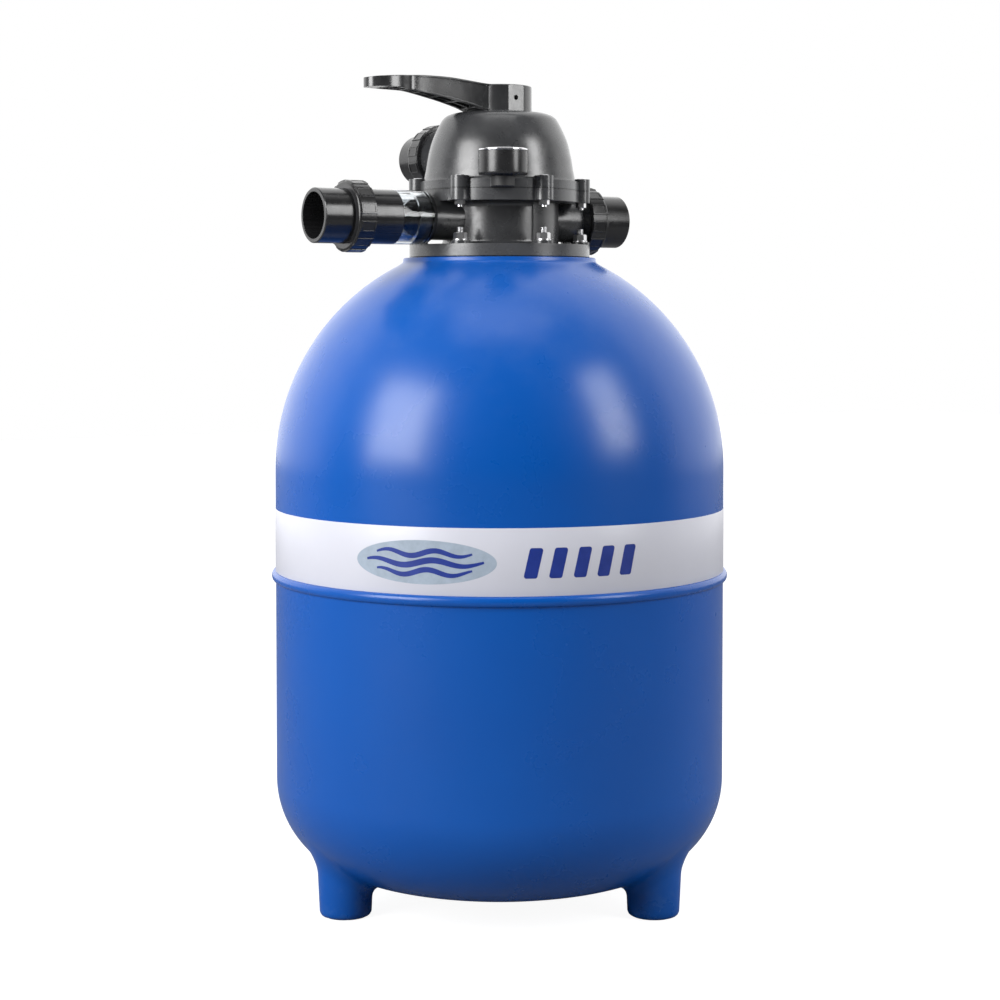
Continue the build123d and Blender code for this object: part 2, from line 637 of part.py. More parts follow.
def pipe_adapter(port):
    start = UNION_L[port]
    face, end = start + JOINT_FACE, start + TAIL_END
    tail = cyl(COLLAR_R - 0.2, face, start + NUT_END - 0.2) + cyl(TAIL_R, face, end)
    tail = cut(tail, cyl(TAIL_BORE_R, start, start + 80),
               cyl(SOCKET_R, end - SOCKET_LEN, start + 90))
    return PORT_AXIS[port] * chamfer(rims(tail, TAIL_R, end), 1.0)


def union_oring(port):
    return PORT_AXIS[port] * torus(26.8, 1.14, UNION_L[port] + JOINT_FACE - 1.15)


# -------------------------------------------------------------------- handle
GRIP_HUB_R = 36.0
GRIP_HUB_FLAT = 34.6      # half width over the hub's flats
HANDLE_Z1 = 904.5         # top of the hub
HEEL_L = 30.0             # fulcrum heel, from the pin
ARM_TIP = 170.0
PIN_LEN = 57.0

# In these tables the first column is the distance from the pin along -X.
# (distance, half width) of the arm seen from above
ARM_HALF = [(8, 28.6), (18, 26.0), (36, 21.6), (60, 17.6), (85, 14.6), (104, 12.7), (113, 12.0),
            (118, 11.6), (123, 12.6), (131, 15.6), (141, 16.9), (150, 16.6), (158, 14.2)]
# (distance, z) of the arm's top, outwards, and of its underside, inwards
ARM_TOP = [(20, 904.2), (32, 905.0), (44, 906.6), (56, 908.2), (68, 909.6), (80, 910.4),
           (95, 910.8), (110, 910.7), (128, 909.6), (141, 908.6), (153, 907.7), (171, 905.8)]
ARM_UNDER = [(171, 895.6), (153, 896.2), (136, 895.9), (120, 894.9), (103, 892.4), (91, 890.2),
             (79, 888.0), (67, 885.6), (55, 882.8), (44, 880.0), (36, 877.4)]
# (distance, z) of the side panels' upper and lower borders
PANEL_TOP = [(16, 901.6), (32, 902.8), (44, 904.4), (56, 906.0), (68, 907.4), (80, 908.2),
             (95, 908.6), (107, 908.6), (114, 908.3)]
PANEL_LOW = [(114, 895.8), (103, 894.1), (91, 891.9), (79, 889.7), (67, 887.3), (55, 884.5),
             (44, 881.7), (36, 879.3), (16, 873.6)]
# (distance, z) of the pocket hollowed from the arm's underside
POCKET = [(40, 860), (40, 901.5), (60, 904.6), (80, 906.4), (95, 906.8), (120, 906.2),
          (150, 904.0), (150, 860)]
PANEL_DEPTH, ARM_SIDE_T = 0.9, 4.2
ARM_RIBS = (62, 84, 106, 122)        # distances of the cross ribs in the pocket
RIB_HALF, SPINE_HALF = 1.3, 1.2      # half thickness of cross ribs and long rib


def plan_prism(first, last, inset=0.0, tip=None):
    """The arm seen from above, between two distances, as an upright prism."""
    stations = [(d, w - inset) for d, w in ARM_HALF if first <= d <= last]
    left = [Vector(-d, w, 0) for d, w in stations]
    right = [Vector(-d, -w, 0) for d, w in stations]
    if tip is None:
        end = Edge.make_line(left[-1], right[-1])
    else:
        end = Edge.make_three_point_arc(left[-1], Vector(-tip, 0, 0), right[-1])
    face = Face(Wire([Edge.make_spline(left), end, Edge.make_spline(right[::-1]),
                      Edge.make_line(right[0], left[0])]))
    return Pos(0, 0, 860) * Solid.extrude(face, Vector(0, 0, 70))


def side_point(point):
    return Vector(-point[0], -60, point[1])


def side_path(*points):
    return [Edge.make_line(side_point(a), side_point(b)) for a, b in zip(points, points[1:])]


def side_spline(points):
    return Edge.make_spline([side_point(p) for p in points])


def side_prism(edges):
    """Extrude a side outline across the handle, along +Y."""
    return Solid.extrude(Face(Wire(edges)), Vector(0, 120, 0))


def handle_arm():
    plan = plan_prism(8, 158, tip=ARM_TIP)
    profile = ([side_spline(ARM_TOP)] + side_path(ARM_TOP[-1], ARM_UNDER[0])
               + [side_spline(ARM_UNDER)]
               + side_path(ARM_UNDER[-1], (HEEL_L, HANDLE_Z0), (4, HANDLE_Z0),
                           (4, ARM_TOP[0][1]), ARM_TOP[0]))
    arm = plan & side_prism(profile)
    top_edges = [e for e in arm.edges() if e.center().Z > 903 and -168 < e.center().X < -34
                 and e.length > 8 and abs(e.center().Y) > 5]
    arm = soften(arm, top_edges, 1.0)
    # shallow recessed panels in the side faces, inside a thin rim
    panel = side_prism([side_spline(PANEL_TOP)] + side_path(PANEL_TOP[-1], PANEL_LOW[0])
                       + [side_spline(PANEL_LOW)] + side_path(PANEL_LOW[-1], PANEL_TOP[0]))
    return arm - (panel - plan_prism(8, 131, PANEL_DEPTH))


def handle_hub():
    hub = cyl(GRIP_HUB_R, HANDLE_Z0, HANDLE_Z1)
    hub = soften(hub, rims(hub, GRIP_HUB_R, HANDLE_Z1), 2.0)
    hub = hub & block(-40, 40, -GRIP_HUB_FLAT, GRIP_HUB_FLAT, 870, 910)
    # heel relief under the arm side of the hub
    heel = (HEEL_L, HANDLE_Z0 - 0.01)
    return hub - side_prism(side_path(heel, (37, HANDLE_Z0 + 1.6), (37, HANDLE_Z0 - 2),
                                      (HEEL_L, HANDLE_Z0 - 2), heel))


def arm_pocket():
    """The hollow underside of the arm, with ribs left in."""
    pocket = plan_prism(36, 150, ARM_SIDE_T) & side_prism(side_path(*POCKET, POCKET[0]))
    return cut(pocket, *(block(-d - RIB_HALF, -d + RIB_HALF, -40, 40, 850, 930)
                         for d in ARM_RIBS),
               block(-150, -30, -SPINE_HALF, SPINE_HALF, 850, 930))


def handle():
    # cut last: the arm's pocket, the stem's pocket and the pin's cross hole
    return cut(handle_arm() + handle_hub(), arm_pocket(),
               block(-13.5, 13.5, -6.3, 6.3, 870, 901.0), cyl(STEM_R + 4.4, 870, 881.6),
               cross_rod(PIN_R + RUN, 90))


def handle_washer():
    return tube(STEM_R + RUN, 37.0, COVER_TOP_Z, HANDLE_Z0)


def handle_pin():
    pin = cross_rod(PIN_R, PIN_LEN)
    return chamfer([e for e in pin.edges() if e.geom_type == GeomType.CIRCLE], 0.4)


# --------------------------------------------------------------------- gauge
# Modelled on the Z axis, then moved onto the cover's boss.
GAUGE_SPOT = Pos(GAUGE_X, GAUGE_Y, 0)
GAUGE_R, GAUGE_Z0, GAUGE_Z1 = 26.5, 800.3, 828.3
BEZEL_R = 26.75
# (length, half width) corners of the needle, from the arbor
NEEDLE = [(-7, -1.3), (-7, 1.3), (0, 1.1), (19.5, 0.35), (19.5, -0.35), (0, -1.1)]


def gauge_case():
    low = GAUGE_Z0
    case = ring([(0, low), (23.5, low), (GAUGE_R, low + 3.0), (GAUGE_R, 824.6), (25.3, 824.6),
                 (25.3, 820.0), (24.3, 820.0), (24.3, low + 4.5), (22.5, low + 2.5),
                 (0, low + 2.5)])
    case = case + cone(11.5, 15.0, GAUGE_BOSS_Z + 0.05, low)
    return case - cyl(5.2, 798, 806)


def gauge_bezel():
    return ring([(24.2, 827.2), (26.0, GAUGE_Z1), (BEZEL_R, GAUGE_Z1 - 0.8), (BEZEL_R, 823.0),
                 (26.55, 823.0), (26.55, 824.7), (25.1, 824.7), (25.1, 826.6), (24.2, 826.6)])


def gauge_lens():
    return cyl(25.0, 824.75, 826.5)


def gauge_dial():
    return tube(2.2, 25.2, 820.05, 820.85) - cyl(2.0, 819, 822)


def gauge_stem():
    return hexagon(9.0, 802.9, 812.0) + cyl(4.95, 791.1, 803.0) - cyl(1.2, 790, 810)


def gauge_movement():
    """A flattened C-shaped Bourdon tube, and the arbor's mounting under the dial."""
    bourdon = Pos(0, 0, 811.0) * (tube(16.5, 18.0, -2.6, 2.6) - wedge(10, 25, 245, 45, -5, 5))
    movement = fuse(bourdon, block(3.0, 17.2, -2.2, 2.2, 812.0, 813.4),
                    cyl(3.4, 812.0, 817.5), cyl(6.5, 815.5, 816.8))
    return movement - cyl(1.06, 811.0, 820)


def gauge_needle():
    arbor = cyl(1.0, 813.5, 822.4) + cyl(2.6, 821.4, 823.2)
    return arbor + Pos(0, 0, 821.6) * turn(225) * extrude(Polygon(*NEEDLE, align=None), 0.7)


# --------------------------------------------------------------------- write
def write(name, shape):
    if isinstance(shape, ShapeList):
        shape = group(shape)
    export_step(shape, "parts/" + name + ".step")


os.makedirs("parts", exist_ok=True)
# each file takes the name of the function that builds its piece
for build in (tank_shell, label_band,
              lateral_hub, laterals, lateral_caps, riser_pipe, sand_bed, top_diffuser,
              neck_studs, flange_nuts, flange_washers, neck_gasket,
              valve_body, spider_gasket, cover_oring, rotor, rotor_spring, spring_washer,
              stem_orings, valve_cover, cover_screws, cover_washers, cover_nuts,
              sight_seal, sight_glass, waste_bushing, bushing_oring,
              handle_washer, handle_pin, handle):
    write(build.__name__, build())
for build in (union_nut, pipe_adapter, union_oring):
    for port_name in UNION_L:
        write(build.__name__ + "_" + port_name, build(port_name))
for build in (gauge_case, gauge_bezel, gauge_lens, gauge_dial, gauge_stem, gauge_movement,
              gauge_needle):
    write(build.__name__, GAUGE_SPOT * build())
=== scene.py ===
# A pool sand filter: a blue moulded tank on three feet, with a printed band, a dark multiport
# valve on its neck and a pressure gauge beside the valve.
# It stands on z = 0 with the tank's axis on Z.  The camera looks from between -X and -Y.
# Tables and sizes of the pieces are in mm; scene, lights and textures are in metres.
import math
import bpy
import bmesh
import numpy as np
from mathutils import Matrix, Vector

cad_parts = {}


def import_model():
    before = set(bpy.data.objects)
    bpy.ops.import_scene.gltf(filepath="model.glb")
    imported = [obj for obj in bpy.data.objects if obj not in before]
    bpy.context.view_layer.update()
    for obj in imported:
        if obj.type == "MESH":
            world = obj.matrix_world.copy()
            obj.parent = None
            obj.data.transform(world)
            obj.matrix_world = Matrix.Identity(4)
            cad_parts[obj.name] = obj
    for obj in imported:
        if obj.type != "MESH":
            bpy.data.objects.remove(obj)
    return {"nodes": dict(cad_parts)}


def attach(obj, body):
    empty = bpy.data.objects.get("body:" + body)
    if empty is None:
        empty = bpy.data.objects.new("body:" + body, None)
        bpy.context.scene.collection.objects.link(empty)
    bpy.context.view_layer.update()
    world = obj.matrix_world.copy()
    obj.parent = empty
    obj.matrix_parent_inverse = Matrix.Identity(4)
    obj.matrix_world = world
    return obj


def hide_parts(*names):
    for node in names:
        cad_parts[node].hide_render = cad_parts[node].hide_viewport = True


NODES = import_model()["nodes"]
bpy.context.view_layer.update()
MM = 0.001                      # metres in a millimetre
VIEW_ANGLE = 238.0              # the camera's direction from the axis, degrees from +X


# ------------------------------------------------------------------ shader nodes
def scaled(colour, factor):
    return tuple(c * factor for c in colour)


class Graph:
    """Adds nodes to a shader tree.  Most methods return the new node's output socket."""

    def __init__(self, tree, space):
        self.tree = tree
        self.place = self.node("TexCoord", {}).outputs[space]

    def node(self, kind, inputs, **settings):
        """Makes a node; each input is either a socket to link or a value."""
        made = self.tree.nodes.new("ShaderNode" + kind)
        for key, value in settings.items():
            setattr(made, key, value)
        for key, value in inputs.items():
            if isinstance(value, bpy.types.NodeSocket):
                self.tree.links.new(value, made.inputs[key])
            else:
                made.inputs[key].default_value = value
        return made

    def noise(self, scale, detail, rough, distortion=0.0, stretch=None, turn=(0, 0, 0)):
        """Cloudy pattern; stretch scales its space along x, y, z and turn rotates it."""
        place = self.place
        if stretch:
            mapping = {"Vector": place, "Scale": stretch, "Rotation": turn}
            place = self.node("Mapping", mapping).outputs["Vector"]
        return self.node("TexNoise", {"Vector": place, "Scale": scale, "Detail": detail,
                                      "Roughness": rough, "Distortion": distortion}).outputs["Fac"]

    def cells(self, scale):
        inputs = {"Vector": self.place, "Scale": scale}
        return self.node("TexVoronoi", inputs).outputs["Distance"]

    def ramp(self, fac, *stops):
        """Colours fac by stops of (position, colour)."""
        made = self.node("ValToRGB", {"Fac": fac})
        elements = made.color_ramp.elements
        while len(elements) < len(stops):
            elements.new(0.5)
        for element, (position, colour) in zip(elements, stops):
            element.position = position
            element.color = (*colour, 1)
        return made.outputs["Color"]

    def remap(self, fac, span, to):
        """Maps fac from the range span to the range to."""
        return self.node("MapRange", dict(enumerate((fac, *span, *to)))).outputs[0]

    def calc(self, operation, *values, clamp=False):
        made = self.node("Math", dict(enumerate(values)), operation=operation, use_clamp=clamp)
        return made.outputs[0]

    def weighted(self, mask, strength):
        return mask if strength is None else self.calc("MULTIPLY", mask, strength)

    def add(self, base, extra, strength=None):
        return self.calc("ADD", base, self.weighted(extra, strength))

    def mix(self, base, other, mask, strength=None):
        """Lays the colour other over base where mask is high."""
        inputs = {0: self.weighted(mask, strength)}
        for key, colour in ((6, base), (7, other)):
            inputs[key] = (*colour, 1) if isinstance(colour, tuple) else colour
        return self.node("Mix", inputs, data_type="RGBA").outputs[2]

    def bump(self, height, distance, strength, over=None):
        inputs = {"Height": height, "Distance": distance, "Strength": strength}
        if over is not None:
            inputs["Normal"] = over
        return self.node("Bump", inputs).outputs["Normal"]

    def soft_edges(self, radius):
        """Shading normal that rounds every edge by radius (metres)."""
        return self.node("Bevel", {"Radius": radius}, samples=4).outputs["Normal"]

    def split(self):
        """The X, Y and Z of the textured point."""
        return self.node("SeparateXYZ", {0: self.place}).outputs

    def convex(self, low, high):
        """1 along convex edges, from the mesh's own curvature."""
        pointiness = self.node("NewGeometry", {}).outputs["Pointiness"]
        return self.remap(pointiness, span=(low, high), to=(0.0, 1.0))

    def camera_ray(self):
        return self.node("LightPath", {}).outputs["Is Camera Ray"]


class Finish(Graph):
    """A material under construction."""

    def __init__(self, name):
        self.material = bpy.data.materials.new(name)
        self.material.use_nodes = True
        self.material.node_tree.nodes.clear()
        super().__init__(self.material.node_tree, "Object")

    def done(self, **inputs):
        """Adds the surface shader; an underscore in an input's name stands for a space."""
        named = {key.replace("_", " "): value for key, value in inputs.items()}
        surface = self.node("BsdfPrincipled", named).outputs["BSDF"]
        self.node("OutputMaterial", {"Surface": surface})
        return self.material


# ------------------------------------------------------------------ materials
def tank_plastic():
    """Glossy rotomoulded polyethylene, with the slight orange peel and waves of the moulding."""
    t = Finish("tank_blue_polyethylene")
    colour = t.ramp(t.noise(scale=2.6, detail=3, rough=0.5), (0.30, (0.000, 0.076, 0.370)),
                    (0.55, (0.000, 0.083, 0.395)), (0.78, (0.000, 0.093, 0.425)))
    patches = t.noise(scale=14, detail=4, rough=0.55)
    colour = t.mix(colour, (0.0, 0.070, 0.350),
                   mask=t.remap(patches, span=(0.35, 0.75), to=(0.0, 0.25)))
    # pale dust towards the shoulder and faint scuffs near the feet
    dust = t.calc("MULTIPLY", t.remap(t.split()["Z"], span=(0.50, 0.71), to=(0.0, 0.035)),
                  t.remap(t.noise(scale=35, detail=5, rough=0.65),
                          span=(0.45, 0.75), to=(0.2, 1.0)))
    colour = t.mix(colour, (0.55, 0.66, 0.80), mask=dust)
    scuff = t.calc("MULTIPLY", t.remap(t.split()["Z"], span=(0.0, 0.07), to=(0.35, 0.0)),
                   t.remap(t.noise(scale=60, detail=6, rough=0.7), span=(0.5, 0.8), to=(0.0, 1.0)),
                   clamp=True)
    colour = t.mix(colour, (0.10, 0.20, 0.42), mask=scuff)
    rough = t.remap(t.noise(scale=9, detail=5, rough=0.6), span=(0.3, 0.8), to=(0.25, 0.34))
    rough = t.add(rough, scuff, strength=0.25)
    waves = t.bump(t.noise(scale=7.0, detail=2, rough=0.5), distance=0.0022, strength=0.35)
    peel = t.bump(t.noise(scale=170, detail=3, rough=0.55), distance=0.00003, strength=0.20,
                  over=waves)
    grain = t.bump(t.noise(scale=900, detail=2, rough=0.5), distance=0.00001, strength=0.20,
                   over=peel)
    return t.done(Base_Color=colour, Roughness=rough, Specular_IOR_Level=0.40, IOR=1.5,
                  Normal=grain)


def band_vinyl():
    t = Finish("band_white_vinyl")
    colour = t.ramp(t.noise(scale=6, detail=4, rough=0.6),
                    (0.3, (0.565, 0.572, 0.640)), (0.7, (0.600, 0.607, 0.675)))
    specks = t.remap(t.cells(scale=260), span=(0.0, 0.08), to=(1.0, 0.0))
    colour = t.mix(colour, (0.45, 0.45, 0.47), mask=specks, strength=0.10)
    rough = t.remap(t.noise(scale=40, detail=5, rough=0.6), span=(0.3, 0.8), to=(0.30, 0.44))
    waves = t.bump(t.noise(scale=9, detail=2, rough=0.5), distance=0.0008, strength=0.25)
    grain = t.bump(t.noise(scale=420, detail=3, rough=0.5), distance=0.00004, strength=0.5,
                   over=waves)
    return t.done(Base_Color=colour, Roughness=rough, Specular_IOR_Level=0.5, Normal=grain)


def mottled(name, pattern, low, high, roughness, depth, grain=None, high_at=0.7, **surface):
    """One noise drives colour and roughness, and the relief too unless grain is given."""
    t = Finish(name)
    spots = t.noise(**pattern)
    relief = t.noise(**grain) if grain else spots
    return t.done(Base_Color=t.ramp(spots, (0.3, low), (high_at, high)),
                  Roughness=t.remap(spots, span=(0.3, 0.8), to=roughness),
                  Normal=t.bump(relief, distance=depth, strength=0.5), **surface)


def ink(name, colour):
    return mottled(name, dict(scale=90, detail=5, rough=0.6), low=scaled(colour, 0.82),
                   high=colour, roughness=(0.30, 0.42), depth=0.00002,
                   grain=dict(scale=600, detail=2, rough=0.5))


def pale_plastic(name, colour):
    return mottled(name, dict(scale=40, detail=5, rough=0.6), low=scaled(colour, 0.9),
                   high=colour, roughness=(0.32, 0.5), depth=0.00004,
                   grain=dict(scale=700, detail=3, rough=0.5))


def darken_flange_line_and_shade_boss(t, colour, rough):
    """Darker line where the two flanges meet, and painted shade on the boss under the gauge."""
    joint_z = 0.7885
    boss_x, boss_y = -0.0554, -0.09596
    # darker line where the two flanges meet
    off_joint = t.calc("ABSOLUTE", t.calc("SUBTRACT", t.split()["Z"], joint_z))
    flange_line_darkening = t.remap(off_joint, span=(0.0004, 0.0009), to=(0.85, 0.0))
    colour = t.mix(colour, (0.004, 0.004, 0.004), mask=flange_line_darkening)
    place = t.split()
    dx = t.calc("SUBTRACT", place["X"], boss_x)
    dy = t.calc("SUBTRACT", place["Y"], boss_y)
    squares = t.calc("ADD", t.calc("MULTIPLY", dx, dx), t.calc("MULTIPLY", dy, dy))
    near = t.remap(t.calc("SQRT", squares), span=(0.0150, 0.0165), to=(1.0, 0.0))
    above = t.remap(t.split()["Z"], span=(0.7880, 0.7884), to=(0.0, 1.0))
    below = t.remap(t.split()["Z"], span=(0.8000, 0.8010), to=(1.0, 0.0))
    # painted shade: the boss under the gauge case is coloured near black
    boss_shade = t.calc("MULTIPLY", near, t.calc("MULTIPLY", above, below))
    rough = t.add(rough, boss_shade, strength=0.35)
    return t.mix(colour, (0.008, 0.008, 0.009), mask=boss_shade), rough


def valve_plastic(name, tone, roughness, edge_radius, joint=False):
    """Dark grey glass-filled plastic: cloudy, with a fine moulded grain and painted highlights
    along the convex edges.
    """
    t = Finish(name)
    cloud = t.noise(scale=22, detail=6, rough=0.62, distortion=0.6)
    blots = t.noise(scale=75, detail=5, rough=0.65)
    fibres = t.noise(scale=420, detail=4, rough=0.7, stretch=(1.0, 1.0, 0.22),
                     turn=(0.3, 0.2, 0.9))
    colour = t.ramp(cloud, (0.28, scaled((0.72, 0.74, 0.80), tone)),
                    (0.52, scaled((1.0, 1.03, 1.10), tone)),
                    (0.78, scaled((1.5, 1.55, 1.65), tone)))
    colour = t.mix(colour, scaled((2.2, 2.25, 2.35), tone),
                   mask=t.remap(blots, span=(0.55, 0.80), to=(0.0, 0.35)))
    colour = t.mix(colour, scaled((2.4, 2.45, 2.5), tone),
                   mask=t.remap(fibres, span=(0.60, 0.78), to=(0.0, 0.25)))
    # painted highlight: lighter along the convex edges
    colour = t.mix(colour, scaled((3.0, 3.05, 3.15), tone),
                   mask=t.convex(low=0.515, high=0.60), strength=0.35)
    rough = t.add(t.remap(cloud, span=(0.3, 0.8), to=roughness),
                  t.remap(blots, span=(0.4, 0.8), to=(-0.03, 0.05)))
    if joint:
        colour, rough = darken_flange_line_and_shade_boss(t, colour, rough)
    waves = t.bump(t.noise(scale=30, detail=3, rough=0.5), distance=0.0006, strength=0.22,
                   over=t.soft_edges(edge_radius))
    pits = t.bump(t.noise(scale=260, detail=4, rough=0.6), distance=0.00007, strength=0.35,
                  over=waves)
    grain = t.bump(t.noise(scale=1500, detail=3, rough=0.6), distance=0.00002, strength=0.35,
                   over=pits)
    return t.done(Base_Color=colour, Roughness=rough, Specular_IOR_Level=0.72, Normal=grain)


def gloss_black(name, tone, rough):
    """Near-black glossy PVC, with faint flow lines and handling scratches."""
    t = Finish(name)
    colour = t.ramp(t.noise(scale=28, detail=5, rough=0.6),
                    (0.3, scaled((1.0, 1.0, 1.08), tone)), (0.75, scaled((2.0, 2.0, 2.1), tone)))
    scratches = t.noise(scale=55, detail=6, rough=0.75, stretch=(9, 1, 1), turn=(0.5, 0.3, 0.8))
    scratches = t.remap(scratches, span=(0.66, 0.70), to=(0.0, 1.0))
    colour = t.mix(colour, (0.06, 0.06, 0.064), mask=scratches, strength=0.30)
    # painted highlight: lighter along the convex edges
    colour = t.mix(colour, (0.07, 0.07, 0.075), mask=t.convex(low=0.52, high=0.60), strength=0.30)
    smears = t.noise(scale=60, detail=5, rough=0.6)
    roughness = t.add(t.remap(smears, span=(0.3, 0.8), to=(rough, rough + 0.12)),
                      scratches, strength=0.18)
    flow = t.bump(t.noise(scale=45, detail=2, rough=0.5), distance=0.0004, strength=0.3,
                  over=t.soft_edges(radius=0.0006))
    grain = t.bump(t.noise(scale=700, detail=3, rough=0.5), distance=0.00003, strength=0.5,
                   over=flow)
    return t.done(Base_Color=colour, Roughness=roughness, Specular_IOR_Level=0.5, Normal=grain)


def clear_acrylic(name, tint, rough):
    """Transparent plastic with smears and fine scratches."""
    t = Finish(name)
    smear = t.noise(scale=35, detail=6, rough=0.7, distortion=1.2)
    scratches = t.noise(scale=70, detail=5, rough=0.75, stretch=(1, 10, 1), turn=(0.1, 0.2, 0.4))
    scratches = t.remap(scratches, span=(0.66, 0.71), to=(0.0, 1.0))
    roughness = t.add(t.remap(smear, span=(0.45, 0.85), to=(rough, rough + 0.14)),
                      scratches, strength=0.15)
    colour = t.mix(tint, scaled(tint, 0.90), mask=t.remap(smear, span=(0.4, 0.9), to=(0.0, 0.6)))
    relief = t.bump(t.noise(scale=50, detail=3, rough=0.5), distance=0.0002, strength=0.3)
    return t.done(Base_Color=colour, Roughness=roughness, Transmission_Weight=1.0, IOR=1.45,
                  Normal=relief)


def brushed_steel(name, stretch, tone, rough):
    t = Finish(name)
    brush = t.noise(scale=240, detail=5, rough=0.7, stretch=stretch)
    spots = t.noise(scale=120, detail=4, rough=0.6)
    colour = t.ramp(brush, (0.3, scaled((0.78, 0.78, 0.80), tone)),
                    (0.7, scaled((1.12, 1.12, 1.13), tone)))
    colour = t.mix(colour, (0.33, 0.31, 0.28),
                   mask=t.remap(spots, span=(0.62, 0.8), to=(0.0, 0.35)))
    return t.done(Base_Color=colour, Metallic=1.0,
                  Roughness=t.remap(brush, span=(0.3, 0.75), to=(rough, rough + 0.2)),
                  Normal=t.bump(brush, distance=0.00004, strength=0.5))


def sand():
    t = Finish("silica_sand")
    grains = t.cells(scale=1300)
    colour = t.ramp(grains, (0.0, (0.62, 0.50, 0.34)), (0.45, (0.48, 0.37, 0.24)),
                    (1.0, (0.30, 0.22, 0.14)))
    patches = t.noise(scale=30, detail=6, rough=0.7)
    colour = t.mix(colour, (0.70, 0.62, 0.48),
                   mask=t.remap(patches, span=(0.4, 0.8), to=(0.0, 0.4)))
    return t.done(Base_Color=colour,
                  Roughness=t.remap(grains, span=(0.0, 1.0), to=(0.75, 0.95)),
                  Normal=t.bump(grains, distance=0.0004, strength=0.9))


def floor_paint():
    t = Finish("floor_pale")
    colour = t.ramp(t.noise(scale=3, detail=3, rough=0.5),
                    (0.3, (0.23, 0.23, 0.23)), (0.7, (0.25, 0.25, 0.25)))
    # lit up to the backdrop's white for the camera, so that the sweep has no horizon
    glow = t.weighted(t.camera_ray(), strength=0.93)
    return t.done(Base_Color=colour, Roughness=0.8, Specular_IOR_Level=0.2,
                  Emission_Color=(1.0, 1.0, 1.0, 1.0), Emission_Strength=glow)


MATERIALS = {
    "tank": tank_plastic(),
    "band": band_vinyl(),
    "navy": ink("print_navy", colour=(0.012, 0.035, 0.26)),
    "pale": ink("print_grey_blue", colour=(0.36, 0.43, 0.52)),
    "valve": valve_plastic("valve_glass_filled_plastic", tone=0.034, roughness=(0.34, 0.22),
                           edge_radius=0.0008, joint=True),
    "handle": valve_plastic("handle_black_plastic", tone=0.018, roughness=(0.27, 0.16),
                            edge_radius=0.0009),
    "union": gloss_black("union_black_pvc", tone=0.0085, rough=0.16),
    "gauge": gloss_black("gauge_case_black", tone=0.010, rough=0.22),
    "clear": clear_acrylic("sight_acrylic", tint=(0.62, 0.65, 0.67), rough=0.05),
    "lens": clear_acrylic("gauge_lens_acrylic", tint=(0.97, 0.98, 0.98), rough=0.015),
    "steel": brushed_steel("stainless_steel", stretch=(1, 1, 30), tone=0.62, rough=0.24),
    "zinc": brushed_steel("screw_steel", stretch=(30, 1, 1), tone=0.66, rough=0.22),
    "rubber": mottled("seal_rubber", dict(scale=160, detail=5, rough=0.6),
                      low=(0.008, 0.008, 0.009), high=(0.022, 0.022, 0.023), high_at=0.75,
                      roughness=(0.6, 0.85), depth=0.00006,
                      grain=dict(scale=900, detail=3, rough=0.6), Specular_IOR_Level=0.35),
    "pvc": pale_plastic("riser_white_pvc", colour=(0.72, 0.72, 0.70)),
    "abs": pale_plastic("internals_white_abs", colour=(0.66, 0.66, 0.64)),
    "washer": pale_plastic("washer_grey_nylon", colour=(0.30, 0.30, 0.31)),
    "sand": sand(),
    "brass": mottled("gauge_brass", dict(scale=200, detail=5, rough=0.65, stretch=(1, 1, 12)),
                     low=(0.42, 0.27, 0.09), high=(0.72, 0.50, 0.20), roughness=(0.22, 0.42),
                     depth=0.00003, Metallic=1.0),
    "chrome": mottled("bezel_chrome", dict(scale=260, detail=5, rough=0.65),
                      low=(0.62, 0.62, 0.64), high=(0.80, 0.80, 0.82), roughness=(0.10, 0.24),
                      depth=0.00002, Metallic=1.0),
    "dial": mottled("dial_white_enamel", dict(scale=120, detail=4, rough=0.6),
                    low=(0.74, 0.74, 0.71), high=(0.82, 0.82, 0.80), roughness=(0.45, 0.6),
                    depth=0.00001),
    "red": ink("needle_red", colour=(0.55, 0.02, 0.015)),
    "black": ink("print_black", colour=(0.02, 0.02, 0.02)),
}

# The CAD pieces that wear each material.
WORN_BY = {
    "tank": ["tank_shell"],
    "band": ["label_band"],
    "sand": ["sand_bed"],
    "pvc": ["riser_pipe"],
    "abs": ["lateral_hub", "laterals", "lateral_caps", "top_diffuser"],
    "steel": ["neck_studs", "flange_nuts", "flange_washers", "rotor_spring", "spring_washer",
              "handle_pin"],
    "zinc": ["cover_screws", "cover_washers", "cover_nuts"],
    "rubber": ["neck_gasket", "spider_gasket", "cover_oring", "stem_orings", "sight_seal",
               "bushing_oring"],
    "valve": ["valve_body", "rotor", "valve_cover"],
    "clear": ["sight_glass"],
    "union": ["waste_bushing"],
    "washer": ["handle_washer"],
    "handle": ["handle"],
    "gauge": ["gauge_case"],
    "chrome": ["gauge_bezel"],
    "lens": ["gauge_lens"],
    "dial": ["gauge_dial"],
    "brass": ["gauge_stem", "gauge_movement"],
    "black": ["gauge_needle"],
}
for port in ("waste", "return", "pump"):
    WORN_BY["union"] += ["union_nut_" + port, "pipe_adapter_" + port]
    WORN_BY["rubber"].append("union_oring_" + port)
MATERIAL_OF = {piece: key for key, pieces in WORN_BY.items() for piece in pieces}

for name, piece in NODES.items():
    piece.data.materials.clear()
    piece.data.materials.append(MATERIALS[MATERIAL_OF[name]])


# ------------------------------------------------------------------ mesh helpers
# A part is a pair (verts, faces) with its points in metres.
def link_mesh(name, mesh, material):
    made = bpy.data.objects.new(name, mesh)
    bpy.context.scene.collection.objects.link(made)
    mesh.materials.append(MATERIALS[material] if isinstance(material, str) else material)
    return made


def new_object(name, part, material, smooth=True):
    verts, faces = part
    mesh = bpy.data.meshes.new(name)
    mesh.from_pydata(verts, [], faces)
    mesh.validate()
    mesh.update()
    made = link_mesh(name, mesh, material)
    if smooth:
        mesh.polygons.foreach_set("use_smooth", [True] * len(mesh.polygons))
    return made


def register(piece, replaces=None):
    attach(piece, "filter")
    if replaces:
        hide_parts(replaces)


